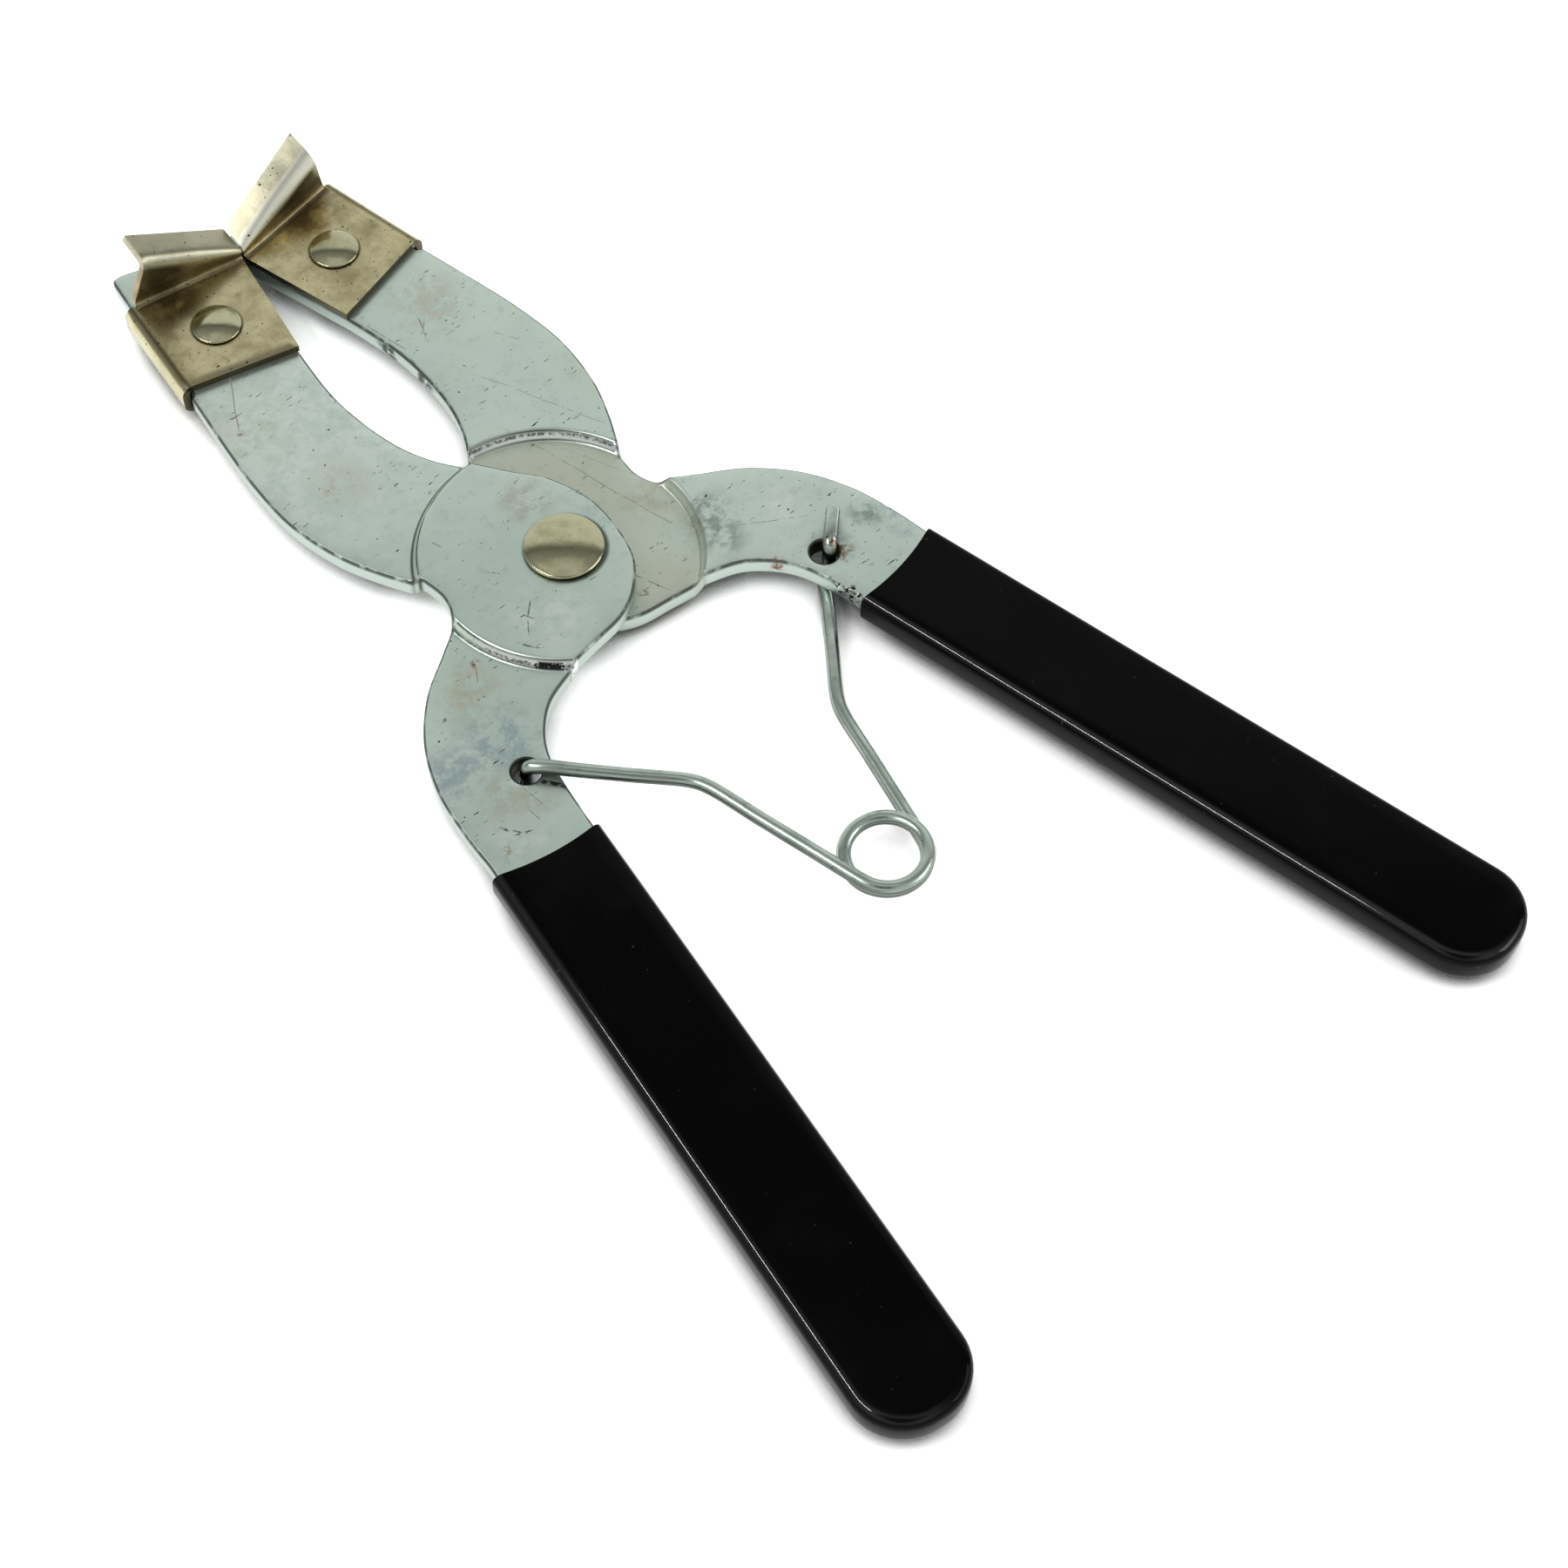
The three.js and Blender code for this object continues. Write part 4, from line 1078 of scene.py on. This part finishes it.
def nickel(side):
    """Dull, smudged nickel on bent sheet, darker in the bend, with painted shade round the rivet's head and
    on the sheet's rear and inner edges, and a painted highlight on the right flange's crest.
    """
    g = Paint(f"{side}_nickel")
    sign = SIGNS[side]
    smudge = g.ramp(g.noise(0.16, 4.0, 0.65), 0.35, 0.68)
    g.ground(smudge, (208, 198, 160), (172, 160, 122))
    g.layer((96, 82, 58), g.ramp(g.noise(0.5, 5.0, 0.75, (0.2, 0.3, 0)), 0.55, 0.75), 0.5)
    from_rivet = g.distance(sign * JAW_RIVET_PLACE[0], JAW_RIVET_PLACE[1])
    halo = g.product(g.ramp(from_rivet, 3.8, 4.3), g.rest(g.ramp(from_rivet, 4.6, 6.2)))
    g.layer((196, 186, 152), halo, 0.35)
    fold = g.spot(sign * FOLD_GRIME_PLACE[0], FOLD_GRIME_PLACE[1], 2.0, 7.0)
    g.layer((88, 74, 52), fold, g.ramp(g.noise(0.22, 3.0, 0.6), 0.35, 0.6), 0.8)
    streaks = g.ramp(g.noise(0.5, 4.0, 0.6, (0.2, 0.4, 0), 0.2 * sign, (0.5, 1.6, 1)), 0.3, 0.7)
    g.layer((104, 92, 66), g.attribute("riser"), g.mix_value(streaks, 0.45, 0.8))
    g.layer((174, 173, 156), g.attribute("lip"), 0.65)
    # Painted highlight along the right flange's crest.
    if side == "right":
        g.layer((240, 239, 228), g.attribute("crest"), 0.75)
    g.layer((196, 190, 152), g.attribute("wall"), 0.6)
    g.layer((70, 62, 44), g.attribute("line"), 0.75)
    # Painted shade: a dark ring round the rivet's head.
    g.layer((64, 56, 40), g.rest(g.ramp(from_rivet, 3.95, 4.35)), 0.8)
    # Painted shade on the sheet's faces that turn to the rear and to the inside, below its top.
    facing = g.split(g.nodes["Texture Coordinate"].outputs["Normal"])
    rear = g.ramp(g.product(facing[1], -1.0), 0.45, 0.8)
    inner = g.ramp(g.product(facing[0], -sign), 0.45, 0.8)
    sheet_top = (ARM + TIP_TOP) * MM
    low = g.rest(g.ramp(g.split(g.place)[2], sheet_top + 0.1 * MM, sheet_top + 0.4 * MM))
    g.layer((52, 48, 38), g.highest([rear, inner]), low, 0.9)
    g.layer((60, 48, 34), g.ramp(g.noise(1.7, 1.0, 0.4, (0.6, 0.1, 0)), 0.72, 0.76))
    g.shader.inputs["Metallic"].default_value = 1.0
    rough = g.mix_value(smudge, 0.22, 0.36)
    rough = g.mix_value(g.attribute("crest"), rough, 0.5 if side == "right" else 0.34)
    wobble = g.math("ADD", g.noise(0.12), g.product(g.noise(0.9, 3.0, 0.6), 0.15))
    return g.finish(rough, wobble, 0.4, 0.18)


def bright_rivet():
    """Bright, faintly yellow nickel with fine handling marks."""
    g = Paint("bright_rivet")
    haze = g.ramp(g.noise(0.35, 4.0, 0.6), 0.4, 0.7)
    g.ground(haze, (199, 196, 164), (178, 174, 140))
    marks = g.ramp(g.noise(1.8, 2.0, 0.5, (0.5, 0.2, 0), 0.6, (1, 3, 1)), 0.68, 0.74)
    g.layer((120, 110, 84), marks, 0.5)
    g.shader.inputs["Metallic"].default_value = 1.0
    return g.finish(g.mix_value(haze, 0.14, 0.24), g.noise(0.3), 0.25, 0.1)


def spring_wire():
    """Zinc-plated drawn wire with painted shade on its sides, scuffed, and rusty where it leaves the right
    lever.
    """
    g = Paint("spring_wire")
    cloud = g.ramp(g.noise(0.12, 3.0, 0.6), 0.35, 0.7)
    g.ground(cloud, (200, 212, 204), (166, 178, 170))
    # Painted shade: the wire darkens where it faces sideways or down.
    g.layer((66, 73, 69), g.rest(g.ramp(g.attribute("upper"), 0.1, 0.75)), 0.92)
    g.layer((98, 108, 102), g.ramp(g.noise(0.8, 3.0, 0.7, (0.3, 0.8, 0)), 0.58, 0.72), 0.45)
    rust = g.spot(SPRING_HOLE[0] + 1.2, SPRING_HOLE[1], 0.4, 1.8)
    g.layer((120, 82, 50), rust, g.ramp(g.noise(1.4), 0.5, 0.6))
    g.shader.inputs["Metallic"].default_value = 1.0
    return g.finish(g.mix_value(cloud, 0.24, 0.36), g.noise(0.7, 3.0, 0.6), 0.3, 0.08)


def black_vinyl():
    """Deep black dipped vinyl: glossy, with slow waves, a few dust specks and faint scuffs."""
    g = Paint("black_vinyl")
    scuff = g.ramp(g.noise(0.1, 4.0, 0.6), 0.5, 0.75)
    g.base = g.mix(scuff, (0.0019, 0.0022, 0.0020, 1), (0.0031, 0.0034, 0.0032, 1))
    dust = g.product(g.ramp(g.noise(1.2, 0.0, 0.3, (0.9, 0.4, 0)), 0.85, 0.87), 0.2)
    g.base = g.mix(dust, g.base, (0.12, 0.12, 0.11, 1))
    g.feed(g.shader.inputs["Specular IOR Level"], g.mix_value(g.attribute("rim"), 0.06, 0.5))
    return g.finish(g.mix_value(scuff, 0.07, 0.11), g.noise(0.09, 1.0), 0.15, 0.3)


# ---- camera, light and floor

CAMERA_AZIMUTH = math.radians(-42.911)
CAMERA_ELEVATION = math.radians(56.997)
CAMERA_ROLL = math.radians(0.442)
CAMERA_DISTANCE = 0.494
CAMERA_LENS = 76.0
AIM_RIGHT = 0.03262
AIM_UP = -0.03245

# The tent's tint against the cosine from the point that the tool is seen from.
TENT_TINTS = ((0.88, (0.90, 0.93, 0.90, 1)), (0.985, (0.10, 0.10, 0.09, 1)))
# The tent's brightness from its near side, -1, to its far side, 1.
TENT_LEVELS = ((-0.6, 0.7), (-0.1, 0.42), (0.2, 0.34), (0.36, 0.24), (0.44, 0.12), (0.50, 0.2),
               (0.545, 0.66), (0.6, 0.84), (0.9, 0.84))
FLOOR_HALF = 30.0
FLOOR_SHADE_REACH = 7 * MM


def camera_axes():
    """The camera's right, up and backward directions."""
    back = Vector((math.sin(CAMERA_AZIMUTH) * math.cos(CAMERA_ELEVATION),
                   -math.cos(CAMERA_AZIMUTH) * math.cos(CAMERA_ELEVATION),
                   math.sin(CAMERA_ELEVATION)))
    level = Vector((0, 0, 1)).cross(back).normalized()
    upward = back.cross(level)
    cos, sin = math.cos(CAMERA_ROLL), math.sin(CAMERA_ROLL)
    return level * cos + upward * sin, upward * cos - level * sin, back


def placed_object(name, data, axes, place):
    """A camera or a light with its own x, y and z along the three axes."""
    thing = bpy.data.objects.new(name, data)
    thing.matrix_world = Matrix.Translation(place) @ Matrix(axes).transposed().to_4x4()
    bpy.context.scene.collection.objects.link(thing)
    return thing


def add_camera():
    right, up, back = camera_axes()
    data = bpy.data.cameras.new("camera")
    data.sensor_width = 36.0
    data.lens = CAMERA_LENS
    data.clip_start = 0.01
    place = Vector((0, 0, ARM * MM)) + back * CAMERA_DISTANCE + right * AIM_RIGHT + up * AIM_UP
    bpy.context.scene.camera = placed_object("camera", data, (right, up, back), place)


def add_area_light(name, direction, distance, size, power, long_axis):
    data = bpy.data.lights.new(name, "AREA")
    data.shape = "RECTANGLE"
    data.size, data.size_y = size
    data.energy = power
    back = Vector(direction).normalized()
    across = Vector(long_axis).cross(back).normalized()
    placed_object(name, data, (across, back.cross(across), back), back * distance)


def add_surroundings():
    """A white tent, dark round the point that the tool is seen from and in a band on its far side."""
    world = bpy.data.worlds.new("tent")
    bpy.context.scene.world = world
    world.use_nodes = True
    g = Nodes(world.node_tree)
    way = g.add("TexCoord").outputs["Generated"]
    right, _, back = camera_axes()
    toward, away = (g.vector("DOT_PRODUCT", way, axis).outputs["Value"]
                    for axis in (back, Vector((0, 0, 1)).cross(right)))
    shade = g.add("ValToRGB", {0: toward})
    for element, (position, tint) in zip(shade.color_ramp.elements, TENT_TINTS):
        element.position, element.color = position, tint
    band = g.add("ValToRGB", {0: g.add("MapRange", {0: away, 1: -1.0}).outputs[0]})
    stops = band.color_ramp.elements
    for position, level in TENT_LEVELS:
        stops.new((position + 1) / 2).color = (level, level, level, 1)
    stops.remove(stops[0])
    stops.remove(stops[-1])
    g.feed(g.nodes["Background"].inputs[0], g.mix(1.0, shade.outputs[0], band.outputs[0], "MULTIPLY"))


def add_floor():
    """A white floor that glows, with painted shadow where the tool covers it: its colour and its glow fade
    there.
    """
    signs = ((-1, -1), (1, -1), (1, 1), (-1, 1))
    floor = mesh_object("floor", [(x * FLOOR_HALF, y * FLOOR_HALF, FLOOR) for x, y in signs], [(0, 1, 2, 3)])
    g = Paint("pale_floor")
    g.base = g.mix(g.ramp(g.noise(0.02, 3.0), 0.3, 0.7), (0.86, 0.86, 0.86, 1), (0.90, 0.90, 0.90, 1))
    open_sky = g.add("AmbientOcclusion", {"Distance": FLOOR_SHADE_REACH}, samples=8).outputs["AO"]
    # Painted shadow: the floor's colour darkens where the tool shuts out the sky.
    g.base = g.mix(g.ramp(open_sky, 0.36, 0.62), (0.12, 0.12, 0.12, 1), g.base)
    g.shader.inputs["Specular IOR Level"].default_value = 0.0
    g.shader.inputs["Emission Color"].default_value = (1, 1, 1, 1)
    # Painted shadow: the floor's glow fades where the tool covers it.
    g.feed(g.shader.inputs["Emission Strength"], g.product(g.ramp(open_sky, 0.36, 0.78), 0.8))
    floor.data.materials.append(g.finish(0.9))


# ---- assembly


def finish_piece(piece, material, slot, body, *nodes):
    piece.data.materials.clear()
    piece.data.materials.append(material)
    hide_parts(*nodes)
    if body:
        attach(piece, body)


def finish_halves(part, make, material, slot):
    """Makes a part for each half of the tool, mirrored for the left one."""
    for side in SIGNS:
        piece = make(side)
        if side == "left":
            mirror(piece)
        finish_piece(piece, material(side), slot, f"{side}_half", f"{side}_{part}")


add_camera()
add_surroundings()
add_floor()
add_area_light("strip", (-0.57, 0.2, 0.8), 0.9, (0.02, 0.5), 2.6, (0, 1, 0))
add_area_light("overhead", (-0.03, -0.05, 1), 1.1, (0.5, 0.9), 0.3, camera_axes()[0])
add_area_light("side", (0.62, -0.68, 0.4), 1.3, (0.9, 0.6), 4.0, (0, 0, 1))

rivet_metal = bright_rivet()
vinyl = black_vinyl()
finish_halves("lever", lever, zinc, "zinc_plate")
finish_piece(pivot_rivet(), rivet_metal, "bright_rivet", "left_half", "pivot_rivet")
finish_halves("grip", grip, lambda side: vinyl, "black_vinyl")
finish_halves("jaw_tip", jaw_tip, nickel, "nickel_sheet")
finish_halves("jaw_rivet", jaw_rivet, lambda side: rivet_metal, "bright_rivet")
spring = wire_spring()
finish_piece(spring, spring_wire(), "spring_wire", None,
             "return_spring_left_half", "return_spring_right_half")
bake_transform(spring)

bpy.context.scene.view_settings.view_transform = "Standard"
